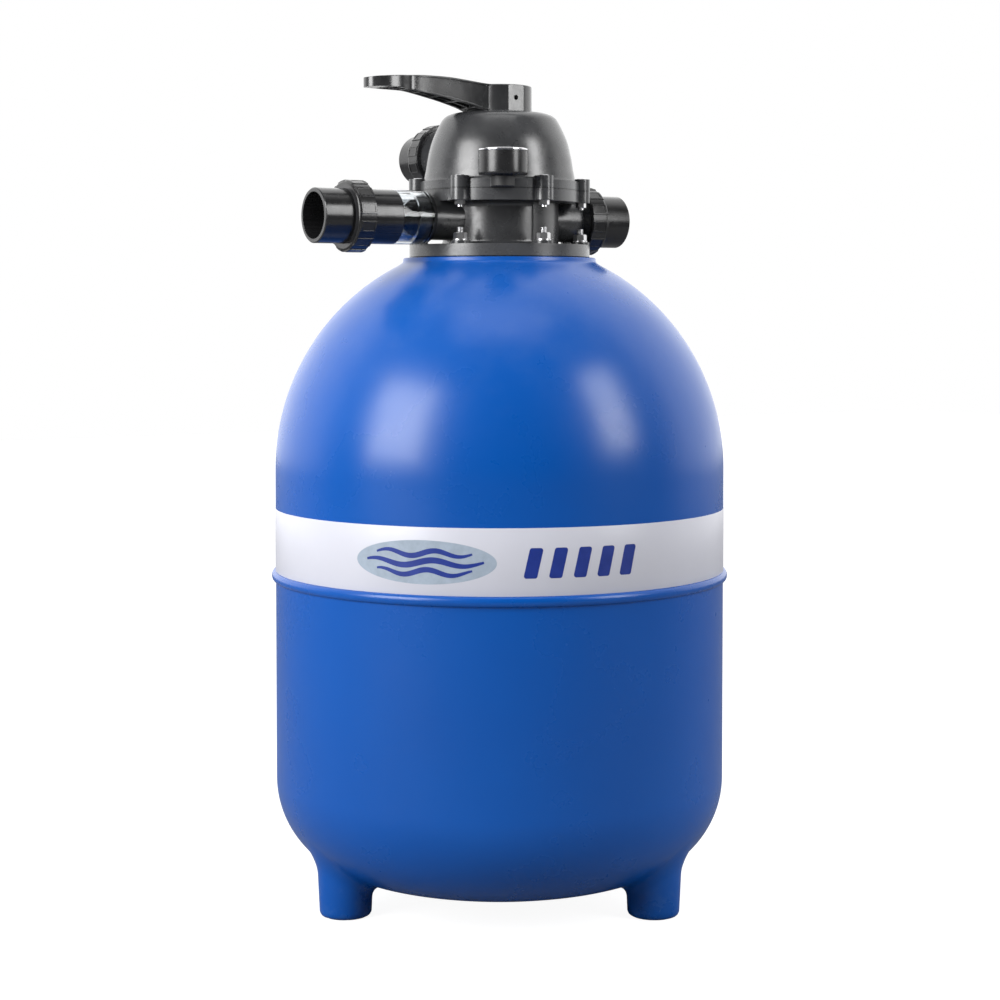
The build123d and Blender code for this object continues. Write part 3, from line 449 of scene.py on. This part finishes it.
def sharpen(piece, degrees):
    """Keeps shading creases where faces meet at more than this angle."""
    bm = bmesh.new()
    bm.from_mesh(piece.data)
    limit = math.radians(degrees)
    for edge in bm.edges:
        edge.smooth = not (len(edge.link_faces) == 2 and edge.calc_face_angle(0.0) > limit)
    for face in bm.faces:
        face.smooth = True
    bm.to_mesh(piece.data)
    bm.free()


def joined(parts):
    verts, faces = [], []
    for part_verts, part_faces in parts:
        base = len(verts)
        verts.extend(part_verts)
        faces.extend([tuple(i + base for i in face) for face in part_faces])
    return verts, faces


def placed(part, matrix):
    verts, faces = part
    return [tuple(matrix @ Vector(point)) for point in verts], faces


def ring(r, z, seg):
    """Points of a level circle, from mm to metres."""
    angles = [2 * math.pi * i / seg for i in range(seg)]
    return [(r * MM * math.cos(a), r * MM * math.sin(a), z * MM) for a in angles]


def bridge(low, high, seg):
    """Quads between two rings that start at these indexes."""
    return [(low + i, low + (i + 1) % seg, high + (i + 1) % seg, high + i) for i in range(seg)]


def lathe(profile, seg):
    """Turns (r, z) points in mm about Z.  A point with r = 0 becomes a pole."""
    verts, faces, starts = [], [], []
    for r, z in profile:
        starts.append(len(verts))
        verts += ring(r, z, seg) if r else [(0.0, 0.0, z * MM)]
    for k in range(len(profile) - 1):
        low, high = starts[k], starts[k + 1]
        if not profile[k][0]:
            faces += [(low, high + (i + 1) % seg, high + i) for i in range(seg)]
        elif not profile[k + 1][0]:
            faces += [(low + i, low + (i + 1) % seg, high) for i in range(seg)]
        else:
            faces += bridge(low, high, seg)
    return verts, faces


def loop_lathe(profile, seg):
    """Turns a closed (r, z) outline in mm, for rings with a bore."""
    verts, faces = [], []
    for k, (r, z) in enumerate(profile):
        verts += ring(r, z, seg)
        faces += bridge(k * seg, (k + 1) % len(profile) * seg, seg)
    return verts, faces


def rounded(points, radius, steps):
    """Rounds every corner of a closed 2D outline."""
    outline = []
    for i in range(len(points)):
        corner = Vector(points[i])
        back = Vector(points[i - 1]) - corner
        ahead = Vector(points[(i + 1) % len(points)]) - corner
        back_length, ahead_length = back.length, ahead.length
        back.normalize()
        ahead.normalize()
        angle = math.acos(max(-1, min(1, back.dot(ahead))))
        cut = min(radius / math.tan(angle / 2), back_length * 0.45, ahead_length * 0.45)
        r = cut * math.tan(angle / 2)
        centre = corner + (back + ahead).normalized() * (r / math.sin(angle / 2))
        start, end = corner + back * cut, corner + ahead * cut
        first = math.atan2(start.y - centre.y, start.x - centre.x)
        last = math.atan2(end.y - centre.y, end.x - centre.x)
        sweep = (last - first + math.pi) % (2 * math.pi) - math.pi
        for k in range(steps + 1):
            a = first + sweep * k / steps
            outline.append((centre.x + r * math.cos(a), centre.y + r * math.sin(a)))
    return outline


def line_outline(points, half_widths):
    """Outline of a line drawn along points, with a half width at each."""
    left, right = [], []
    for i, ((x, y), half) in enumerate(zip(points, half_widths)):
        before, after = points[max(0, i - 1)], points[min(len(points) - 1, i + 1)]
        dx, dy = after[0] - before[0], after[1] - before[1]
        length = math.hypot(dx, dy)
        left.append((x - dy / length * half, y + dx / length * half))
        right.append((x + dy / length * half, y - dx / length * half))
    return left + right[::-1]


# ------------------------------------------------------------------ tank
# The tank is one moulding: a turned body above, and a dished bottom that flows into three feet.
WALL_R = 250.0
KNUCKLE_R = 105.0               # curve between the wall and the dished bottom
CROWN_R = 620.0                 # the dish itself
BOTTOM_Z = 10.0                 # lowest point of the dish
CROWN_Z = BOTTOM_Z + CROWN_R
KNUCKLE_X = WALL_R - KNUCKLE_R
KNUCKLE_Z = CROWN_Z - math.sqrt((CROWN_R - KNUCKLE_R) ** 2 - KNUCKLE_X ** 2)
SPLIT_Z = 176.0                 # the lower and upper meshes meet here

FOOT_CIRCLE_R = 193.0
FEET = [(FOOT_CIRCLE_R * math.cos(math.radians(a)), FOOT_CIRCLE_R * math.sin(math.radians(a)))
        for a in (178.0, 298.0, 58.0)]
FOOT_R = 28.0                   # at the floor
FOOT_FLARE = 3.5                # added to the radius at FOOT_FLARE_Z
FOOT_FLARE_Z = 75.0
FOOT_SLOPE = 0.9989             # cosine of the flare, makes the distance true
FOOT_EDGE_R = 5.0
FOOT_BLEND = 13.0               # fillet between foot and tank

ROUGH_INSET = 1.0               # the rough shape lies this far inside the true surface
ROUGH_FOOT = [(0, 0.6), (27.4, 0.6), (31.4, 92), (0, 92)]           # r, z
ROUGH_LID = 12.0                # height of the rough shape above the split
VOXEL = 0.0031                  # metres

BEAD_Z, BEAD_OUT, BEAD_HALF = 362.0, 4.5, 5.5       # bead round the wall
ROW_STEP = 9.0                  # height of the wall's rows of faces
DOME_Z, DOME_HEIGHT, DOME_ROWS = 480.0, 252.7, 46
NECK_R, NECK_TOP = 107.5, 714.0
BORE_R, BORE_FLOOR = 72.0, 702.0


def tank_distance(points):
    """Signed distance (mm) from an (n, 3) array of points to the lower tank with its feet."""
    radius = np.hypot(points[:, 0], points[:, 1])
    z = points[:, 2]
    crown = np.hypot(radius, z - CROWN_Z) - CROWN_R
    knuckle = np.hypot(radius - KNUCKLE_X, z - KNUCKLE_Z) - KNUCKLE_R
    in_cone = radius * (CROWN_Z - KNUCKLE_Z) < KNUCKLE_X * (CROWN_Z - z)
    dish = np.where(in_cone, crown, knuckle)
    distance = np.where(z >= KNUCKLE_Z, radius - WALL_R, dish)
    for x, y in FEET:
        from_axis = np.hypot(points[:, 0] - x, points[:, 1] - y)
        side = (from_axis - (FOOT_R + FOOT_FLARE * z / FOOT_FLARE_Z)) * FOOT_SLOPE + FOOT_EDGE_R
        sole = -z + FOOT_EDGE_R
        outside = np.hypot(np.maximum(side, 0), np.maximum(sole, 0))
        foot = np.minimum(np.maximum(side, sole), 0) + outside - FOOT_EDGE_R
        fillet = np.hypot(np.maximum(FOOT_BLEND - distance, 0), np.maximum(FOOT_BLEND - foot, 0))
        distance = np.maximum(FOOT_BLEND, np.minimum(distance, foot)) - fillet
    return distance


def snap(points, steps):
    """Moves points onto the surface where tank_distance is zero."""
    h = 0.05                    # half step of the slope's estimate
    longest = 4                 # limit on one move
    for _ in range(steps):
        distance = tank_distance(points)
        slope = np.stack([(tank_distance(points + axis) - tank_distance(points - axis)) / (2 * h)
                          for axis in np.eye(3) * h], 1)
        square = np.maximum((slope * slope).sum(1), 1e-6)
        points = points - slope * np.clip(distance / square, -longest, longest)[:, None]
    return points


def points_mm(bm):
    return np.array([v.co[:] for v in bm.verts]) / MM


def move_points(bm, points):
    for v, point in zip(bm.verts, points):
        v.co = Vector(point) * MM


def rough_lower_tank():
    """Overlapping solids just inside the lower tank."""
    crown, knuckle = CROWN_R - ROUGH_INSET, KNUCKLE_R - ROUGH_INSET
    profile = [(0.0, BOTTOM_Z + ROUGH_INSET)]
    crown_end = math.atan2(KNUCKLE_X, CROWN_Z - KNUCKLE_Z)
    for i in range(1, 13):
        a = crown_end * i / 12
        profile.append((crown * math.sin(a), CROWN_Z - crown * math.cos(a)))
    knuckle_start = math.atan2(KNUCKLE_Z - CROWN_Z, KNUCKLE_X)
    for i in range(1, 15):
        a = knuckle_start * (1 - i / 14)
        profile.append((KNUCKLE_X + knuckle * math.cos(a), KNUCKLE_Z + knuckle * math.sin(a)))
    lid_z = SPLIT_Z + ROUGH_LID
    parts = [lathe(profile + [(WALL_R - ROUGH_INSET, lid_z), (0.0, lid_z)], 160)]
    verts, faces = lathe(ROUGH_FOOT, 48)
    for foot_x, foot_y in FEET:
        parts.append(([(x + foot_x * MM, y + foot_y * MM, z) for x, y, z in verts], faces))
    return joined(parts)


def lower_tank():
    """Dish and feet: a voxel skin of the rough shape, laid on the true surface."""
    rough = new_object("tank_lower_tmp", rough_lower_tank(), "tank")
    remesh = rough.modifiers.new("remesh", "REMESH")
    remesh.mode = "VOXEL"
    remesh.voxel_size = VOXEL
    depsgraph = bpy.context.evaluated_depsgraph_get()
    mesh = bpy.data.meshes.new_from_object(rough.evaluated_get(depsgraph), depsgraph=depsgraph)
    bpy.data.objects.remove(rough)
    bm = bmesh.new()
    bm.from_mesh(mesh)
    # drop the lid, then lay every point on the true surface
    lid = [v for v in bm.verts if v.co.z > (SPLIT_Z + 7) * MM]
    bmesh.ops.delete(bm, geom=lid, context="VERTS")
    bm.verts.ensure_lookup_table()
    points = points_mm(bm)
    near_top = points[:, 2] > SPLIT_Z + 5
    points = snap(points, 6)
    inside = np.hypot(points[:, 0], points[:, 1]) < WALL_R - 3
    drop = [bm.verts[i] for i in np.nonzero(near_top & inside)[0]]
    move_points(bm, points)
    bmesh.ops.delete(bm, geom=drop, context="VERTS")
    # even out the quads along the surface, then lay them on it again
    for _ in range(3):
        bmesh.ops.smooth_vert(bm, verts=[v for v in bm.verts if not v.is_boundary], factor=0.5,
                              use_axis_x=True, use_axis_y=True, use_axis_z=True)
        move_points(bm, snap(points_mm(bm), 3))
    # cut level at the split and close the cut
    bmesh.ops.bisect_plane(bm, geom=bm.verts[:] + bm.edges[:] + bm.faces[:], dist=1e-6,
                           plane_co=(0, 0, SPLIT_Z * MM), plane_no=(0, 0, 1), clear_outer=True)
    bmesh.ops.holes_fill(bm, edges=[e for e in bm.edges if e.is_boundary], sides=0)
    bmesh.ops.recalc_face_normals(bm, faces=bm.faces[:])
    verts = [tuple(v.co) for v in bm.verts]
    index = {v: i for i, v in enumerate(bm.verts)}
    faces = [tuple(index[v] for v in face.verts) for face in bm.faces]
    bm.free()
    bpy.data.meshes.remove(mesh)
    return verts, faces


def upper_tank():
    """Wall with its bead, dome, and neck with the start of its bore."""
    profile = [(0.0, SPLIT_Z), (WALL_R, SPLIT_Z)]
    profile += [(WALL_R, min(SPLIT_Z + ROW_STEP * k, 355.0)) for k in range(1, 21)]
    profile += [(WALL_R, 355.6), (WALL_R + 0.25, 356.4)]
    for i in range(1, 12):
        a = math.pi * i / 12
        profile.append((WALL_R + BEAD_OUT * math.sin(a) ** 0.85, BEAD_Z - BEAD_HALF * math.cos(a)))
    profile += [(WALL_R + 0.25, 367.5), (WALL_R, 368.2)]
    profile += [(WALL_R, 377 + ROW_STEP * k) for k in range(12)]
    dome_end = math.acos(NECK_R / WALL_R)
    for i in range(DOME_ROWS):
        a = dome_end * i / DOME_ROWS
        profile.append((WALL_R * math.cos(a), DOME_Z + DOME_HEIGHT * math.sin(a)))
    # fillet up to the neck, rounded top edge, flat neck face in to the bore
    dome_top = DOME_Z + DOME_HEIGHT * math.sin(dome_end)
    profile += [
        (110.6, dome_top - 1.15), (108.6, dome_top + 0.2), (107.6, dome_top + 2.0),
        (NECK_R, 712.4), (107.1, 713.5), (106.0, NECK_TOP),
        (72.5, NECK_TOP), (BORE_R, 713.5), (BORE_R, BORE_FLOOR), (0.0, BORE_FLOOR)]
    return lathe(profile, 288)


def build_tank():
    tank = new_object("tank_shell_visual", joined([lower_tank(), upper_tank()]), "tank")
    sharpen(tank, 38)
    register(tank, replaces="tank_shell")


build_tank()

# ------------------------------------------------------------------ printed band
BAND_LOW, BAND_HIGH = 367.6, 437.0
BAND_INNER_R, BAND_R = 250.02, 250.4
PRINT_Z = (BAND_LOW + BAND_HIGH) / 2 - 1.0      # middle of the prints
PRINT_STEP = 3.0                                # a print is cut this often to bend round the band
PLATE_ANGLE = VIEW_ANGLE - 18.2                 # oval plate with waves
BARS_ANGLE = VIEW_ANGLE + 19.8                  # row of slanted bars
PLATE_HALF_WIDTH, PLATE_HALF_HEIGHT = 77.0, 22.5
WAVE_HEIGHT = 2.8
WAVES = [       # height above the middle, width of the stroke, phase, half length
    (9.2, 5.6, 0.0, 52.0),
    (-0.5, 6.4, 0.5, 64.0),
    (-10.2, 5.6, 1.0, 52.0),
]
BAR_PITCH = 26
BAR = [(-10.5, -15.5), (3.5, -15.5), (10.5, 15.5), (-3.5, 15.5)]    # along, up


def build_band():
    profile = rounded([(BAND_INNER_R, BAND_LOW), (BAND_R, BAND_LOW),
                       (BAND_R, BAND_HIGH), (BAND_INNER_R, BAND_HIGH)], radius=0.12, steps=2)
    band = new_object("label_band_visual", loop_lathe(profile, 288), "band")
    sharpen(band, 50)
    register(band, replaces="label_band")


def band_print(name, outline, material, angle, lift, thick):
    """A thin print on the band; outline is (along, up) in mm, centred on angle (degrees)."""
    bm = bmesh.new()
    face = bm.faces.new([bm.verts.new((x, y, 0)) for x, y in outline])
    if face.normal.z < 0:
        face.normal_flip()
    along = [point[0] for point in outline]
    x = math.floor(min(along) / PRINT_STEP) * PRINT_STEP
    while x < max(along):
        bmesh.ops.bisect_plane(bm, geom=bm.verts[:] + bm.edges[:] + bm.faces[:], dist=1e-5,
                               plane_co=(x, 0, 0), plane_no=(1, 0, 0))
        x += PRINT_STEP
    bmesh.ops.triangulate(bm, faces=bm.faces[:])
    extruded = bmesh.ops.extrude_face_region(bm, geom=bm.faces[:])["geom"]
    for v in extruded:
        if isinstance(v, bmesh.types.BMVert):
            v.co.z = thick
    for v in bm.verts:
        a = math.radians(angle) + v.co.x / BAND_R
        r = (BAND_R + lift + v.co.z) * MM
        v.co = Vector((r * math.cos(a), r * math.sin(a), (PRINT_Z + v.co.y) * MM))
    bmesh.ops.recalc_face_normals(bm, faces=bm.faces[:])
    mesh = bpy.data.meshes.new(name)
    bm.to_mesh(mesh)
    bm.free()
    register(link_mesh(name, mesh, material))


def build_band_prints():
    plate = [(PLATE_HALF_WIDTH * math.cos(math.radians(4 * k)),
              PLATE_HALF_HEIGHT * math.sin(math.radians(4 * k))) for k in range(90)]
    band_print("band_print_plate", plate, "pale", PLATE_ANGLE, lift=0.0, thick=0.05)
    # brush strokes, tapered at both ends
    taper = [math.sin(math.pi * (0.06 + 0.88 * i / 60)) ** 0.6 for i in range(61)]
    for k, (up, width, phase, half) in enumerate(WAVES, 1):
        points = [(-half + 2 * half * i / 60,
                   up + WAVE_HEIGHT * math.sin(i / 60 * 4 * math.pi + phase)) for i in range(61)]
        outline = line_outline(points, [width * 0.5 * part for part in taper])
        band_print("band_print_wave_%d" % k, outline, "navy", PLATE_ANGLE, lift=0.05, thick=0.06)
    for k in range(5):
        middle = (k - 2) * BAR_PITCH
        outline = rounded([(middle + x, y) for x, y in BAR], radius=2.6, steps=5)
        band_print("band_print_bar_%d" % (k + 1), outline, "navy", BARS_ANGLE,
                   lift=0.0, thick=0.06)


build_band()
build_band_prints()

# ------------------------------------------------------------------ threaded studs in the neck
STUD_CIRCLE_R, STUD_COUNT = 90.0, 6
STUD_R, STUD_LOW, STUD_HIGH = 4.0, 703.5, 746.3
STUD_TIP = 0.5                  # height of the chamfer at each end
STUD_TIP_R = STUD_R - 0.9
THREAD_PITCH, THREAD_DEPTH = 1.25, 0.55
STUD_SEG = 28


def threaded_rod():
    """A rod along Z with a true helical thread, closed at both ends."""
    seg = STUD_SEG
    length = STUD_HIGH - STUD_LOW - 2 * STUD_TIP
    rows = int(length / THREAD_PITCH * 6)
    verts, faces = [], []
    for k in range(rows + 1):
        z = STUD_LOW + STUD_TIP + length * k / rows
        for i in range(seg):
            a = 2 * math.pi * i / seg
            turn = ((z - STUD_LOW) / THREAD_PITCH - i / seg) % 1.0
            groove = min(1.0, max(0.0, abs(turn * 2 - 1) * 1.3 - 0.15))
            r = STUD_R - 0.02 - THREAD_DEPTH * groove
            verts.append((r * MM * math.cos(a), r * MM * math.sin(a), z * MM))
    for k in range(rows):
        faces += bridge(k * seg, (k + 1) * seg, seg)
    for z, row, is_top in ((STUD_LOW, 0, False), (STUD_HIGH, rows, True)):
        tip = len(verts)
        verts += ring(STUD_TIP_R, z, seg)
        centre = len(verts)
        verts.append((0, 0, z * MM))
        for i in range(seg):
            j = (i + 1) % seg
            a, b, p, q = row * seg + i, row * seg + j, tip + i, tip + j
            faces += [(a, b, q, p), (p, q, centre)] if is_top else [(b, a, p, q), (q, p, centre)]
    return verts, faces


def build_studs():
    rods = []
    for k in range(STUD_COUNT):
        a = math.radians(30 + 360 / STUD_COUNT * k)
        x, y = STUD_CIRCLE_R * math.cos(a) * MM, STUD_CIRCLE_R * math.sin(a) * MM
        rods.append(placed(threaded_rod(), Matrix.Translation((x, y, 0))))
    studs = new_object("neck_studs_threaded", joined(rods), "steel")
    sharpen(studs, 30)
    register(studs, replaces="neck_studs")


build_studs()


# ------------------------------------------------------------------ flat prints
def flat_print(name, outlines, low, high, material, slot, centre=(0.0, 0.0)):
    """Thin prints (mm outlines) lying on a level face."""
    verts, faces = [], []
    for outline in outlines:
        n = len(outline)
        twice_area = sum(outline[i][0] * outline[(i + 1) % n][1]
                         - outline[(i + 1) % n][0] * outline[i][1] for i in range(n))
        if twice_area < 0:
            outline = outline[::-1]
        base = len(verts)
        for z in (low, high):
            verts += [((x + centre[0]) * MM, (y + centre[1]) * MM, z * MM) for x, y in outline]
        faces.append(tuple(base + i for i in range(n))[::-1])
        faces.append(tuple(base + n + i for i in range(n)))
        faces += bridge(base, base + n, n)
    made = new_object(name, (verts, faces), material, smooth=False)
    bm = bmesh.new()
    bm.from_mesh(made.data)
    bmesh.ops.triangulate(bm, faces=[face for face in bm.faces if len(face.verts) > 4])
    bm.to_mesh(made.data)
    bm.free()
    register(made)


def radial(angle, points):
    """Turns (outward, sideways) points to lie along angle (radians)."""
    c, s = math.cos(angle), math.sin(angle)
    return [(c * out - s * side, s * out + c * side) for out, side in points]


def bow(cx, cy, rx, ry, start, end, n=14):
    """Points of an elliptical arc between two angles in degrees."""
    angles = [math.radians(start + (end - start) * i / n) for i in range(n + 1)]
    return [(cx + rx * math.cos(a), cy + ry * math.sin(a)) for a in angles]


# ------------------------------------------------------------------ gauge
GAUGE_CIRCLE_R = 110.8          # from the tank's axis to the gauge's
GAUGE_X = GAUGE_CIRCLE_R * math.cos(math.radians(240.0))
GAUGE_Y = GAUGE_CIRCLE_R * math.sin(math.radians(240.0))
DIAL_PRINT = dict(low=820.84, high=820.92, slot="dial_white", centre=(GAUGE_X, GAUGE_Y))
SCALE_START, SCALE_SWEEP = 225.0, 270.0         # degrees, running clockwise
SCALE_MARKS = 40
MARK_OUTER_R = 22.4
MARK_KINDS = [(10, 18.6, 0.55), (5, 19.8, 0.38), (1, 20.8, 0.22)]   # every, inner radius, width
DIGIT_R, DIGIT_SCALE, DIGIT_PEN = 14.6, 1.35, 0.62
DIGITS = [      # pen lines of 0 to 4 in a 2 x 3 box
    [bow(1, 1.5, 0.8, 1.3, 92, 448, 26)],
    [[(0.45, 2.25), (1.0, 2.8), (1.05, 0.15)]],
    [bow(1, 2.0, 0.8, 0.8, 165, -35) + [(0.25, 0.25), (1.85, 0.2)]],
    [bow(0.95, 2.15, 0.7, 0.65, 150, -80), bow(0.95, 0.9, 0.8, 0.75, 80, -150)],
    [[(1.35, 0.1), (1.35, 2.8), (0.15, 0.95), (1.9, 0.9)]],
]
CASE_PROFILE = [        # r, z
    (5.2, 799.08), (12.2, 799.08), (14.6, 800.5), (25.6, 800.5), (26.45, 802.4), (26.45, 825.7),
    (25.2, 825.7), (25.2, 820.0), (24.3, 820.0), (24.3, 805.0), (22.6, 803.0), (5.2, 803.0)]
BEZEL_PROFILE = [       # r, z
    (24.3, 826.75), (25.15, 826.75), (25.15, 825.85), (26.5, 825.85),
    (26.7, 826.3), (26.55, 827.6), (25.7, 828.25), (24.3, 827.3)]


def build_dial_print():
    marks = []
    for k in range(SCALE_MARKS + 1):
        inner, width = next((r, w) for every, r, w in MARK_KINDS if k % every == 0)
        half = width / 2
        marks.append(radial(math.radians(SCALE_START - SCALE_SWEEP * k / SCALE_MARKS),
                            [(inner, -half), (MARK_OUTER_R, -half),
                             (MARK_OUTER_R, half), (inner, half)]))
    for k, pen_lines in enumerate(DIGITS):
        a = math.radians(SCALE_START - SCALE_SWEEP / 4 * k)
        cx, cy = DIGIT_R * math.cos(a), DIGIT_R * math.sin(a)
        for line in pen_lines:
            points = [(cx + (x - 1) * DIGIT_SCALE, cy + (y - 1.5) * DIGIT_SCALE) for x, y in line]
            marks.append(line_outline(points, [DIGIT_PEN / 2] * len(points)))
    flat_print("gauge_dial_marks", marks, material="black", **DIAL_PRINT)
    arc = bow(0, 0, 23.6, 23.6, 223, 139, 30) + bow(0, 0, 22.9, 22.9, 139, 223, 30)
    flat_print("gauge_dial_arc", [arc], material="navy", **DIAL_PRINT)


def build_gauge_ring(piece, profile, radius, material, crease):
    """A turned ring that stands in for one of the gauge's pieces."""
    part = placed(loop_lathe(rounded(profile, radius, steps=4), 160),
                  Matrix.Translation((GAUGE_X * MM, GAUGE_Y * MM, 0)))
    made = new_object(piece + "_visual", part, material)
    sharpen(made, crease)
    register(made, replaces=piece)


build_dial_print()
build_gauge_ring("gauge_case", CASE_PROFILE, radius=0.5, material="gauge", crease=40)
build_gauge_ring("gauge_bezel", BEZEL_PROFILE, radius=0.3, material="chrome", crease=60)

# ------------------------------------------------------------------ selector marks on the cover
SELECTOR_MARK = [(40.6, 0.0), (45.4, -1.7), (45.4, 1.7)]            # outward, sideways
flat_print("selector_marks", [radial(math.radians(60.0 * k), SELECTOR_MARK) for k in range(6)],
           low=874.49, high=874.60, material="washer", slot="washer_plastic")

# ------------------------------------------------------------------ floor, lights, world, camera
FLOOR_HALF, FLOOR_Z = 8.0, -0.0002
TO_CAMERA = Vector((math.cos(math.radians(VIEW_ANGLE)), math.sin(math.radians(VIEW_ANGLE)), 0))
RIGHT = Vector((-TO_CAMERA.y, TO_CAMERA.x, 0))      # as the camera sees it
LIGHT_TARGET = Vector((0, 0, 0.5))
SOFTBOXES = [   # name, to the right, towards the camera, up, width, height (metres), watts
    ("softbox_left", -1.62, 1.28, 1.32, 1.10, 1.35, 46),
    ("softbox_left_halo", -1.85, 1.55, 1.40, 1.90, 2.10, 20),
    ("softbox_right", 1.85, 1.08, 1.50, 0.66, 1.45, 25),
    ("softbox_right_halo", 2.15, 1.15, 1.75, 1.10, 1.70, 8),
    ("softbox_top", 0.0, 0.5, 2.6, 1.4, 0.8, 7),
]
# position from behind the object (0) to behind the camera (1), brightness
SKY_STOPS = [(0.0, 1.0), (0.36, 0.95), (0.43, 0.45), (0.50, 0.12), (0.65, 0.05), (1.0, 0.03)]
SKY_STRENGTH = 1.65
CAMERA_DISTANCE, CAMERA_HEIGHT = 2.43325, 0.6639
CAMERA_TILT = math.radians(2.5)                     # downwards


def build_floor():
    s = FLOOR_HALF
    corners = [(x, y, FLOOR_Z) for x, y in ((-s, -s), (s, -s), (s, s), (-s, s))]
    part = corners, [(0, 1, 2, 3)]
    new_object("floor_plane", part, floor_paint(), smooth=False)


def add_softbox(name, side, front, up, width, height, power):
    light = bpy.data.lights.new(name, "AREA")
    light.shape = "RECTANGLE"
    light.size, light.size_y = width, height
    light.energy = power
    lamp = bpy.data.objects.new(name, light)
    lamp.location = RIGHT * side + TO_CAMERA * front + Vector((0, 0, up))
    lamp.rotation_euler = (LIGHT_TARGET - lamp.location).to_track_quat("-Z", "Y").to_euler()
    bpy.context.scene.collection.objects.link(lamp)


def build_world():
    """A white studio, dim round the camera, so that the flanks catch a pale rim."""
    world = bpy.data.worlds.new("studio")
    bpy.context.scene.world = world
    world.use_nodes = True
    background = world.node_tree.nodes["Background"]
    sky = Graph(world.node_tree, "Generated")
    facing = sky.node("VectorMath", {0: sky.place, 1: TO_CAMERA}, operation="DOT_PRODUCT")
    position = sky.remap(facing.outputs["Value"], span=(-1.0, 1.0), to=(0.0, 1.0))
    glow = sky.ramp(position, *[(at, (bright, bright, bright)) for at, bright in SKY_STOPS])
    glow = sky.weighted(glow, SKY_STRENGTH)
    # the camera itself sees plain white
    strength = sky.node("Mix", {0: sky.camera_ray(), 2: glow, 3: 1.0}, data_type="FLOAT")
    world.node_tree.links.new(strength.outputs[0], background.inputs["Strength"])
    background.inputs["Color"].default_value = (1.0, 1.0, 1.0, 1)


def build_camera():
    lens = bpy.data.cameras.new("camera")
    lens.sensor_width = 36.0
    lens.lens = 78.246
    lens.shift_x, lens.shift_y = 0.0005, -0.102
    lens.clip_start, lens.clip_end = 0.05, 50.0
    camera = bpy.data.objects.new("camera", lens)
    bpy.context.scene.collection.objects.link(camera)
    camera.location = TO_CAMERA * CAMERA_DISTANCE + Vector((0, 0, CAMERA_HEIGHT))
    look = -TO_CAMERA * math.cos(CAMERA_TILT) + Vector((0, 0, -math.sin(CAMERA_TILT)))
    camera.rotation_euler = look.to_track_quat("-Z", "Y").to_euler()
    bpy.context.scene.camera = camera


build_floor()
for softbox in SOFTBOXES:
    add_softbox(*softbox)
build_world()
build_camera()

view = bpy.context.scene.view_settings
view.view_transform = "Standard"
view.look = "None"
view.exposure = 0.0
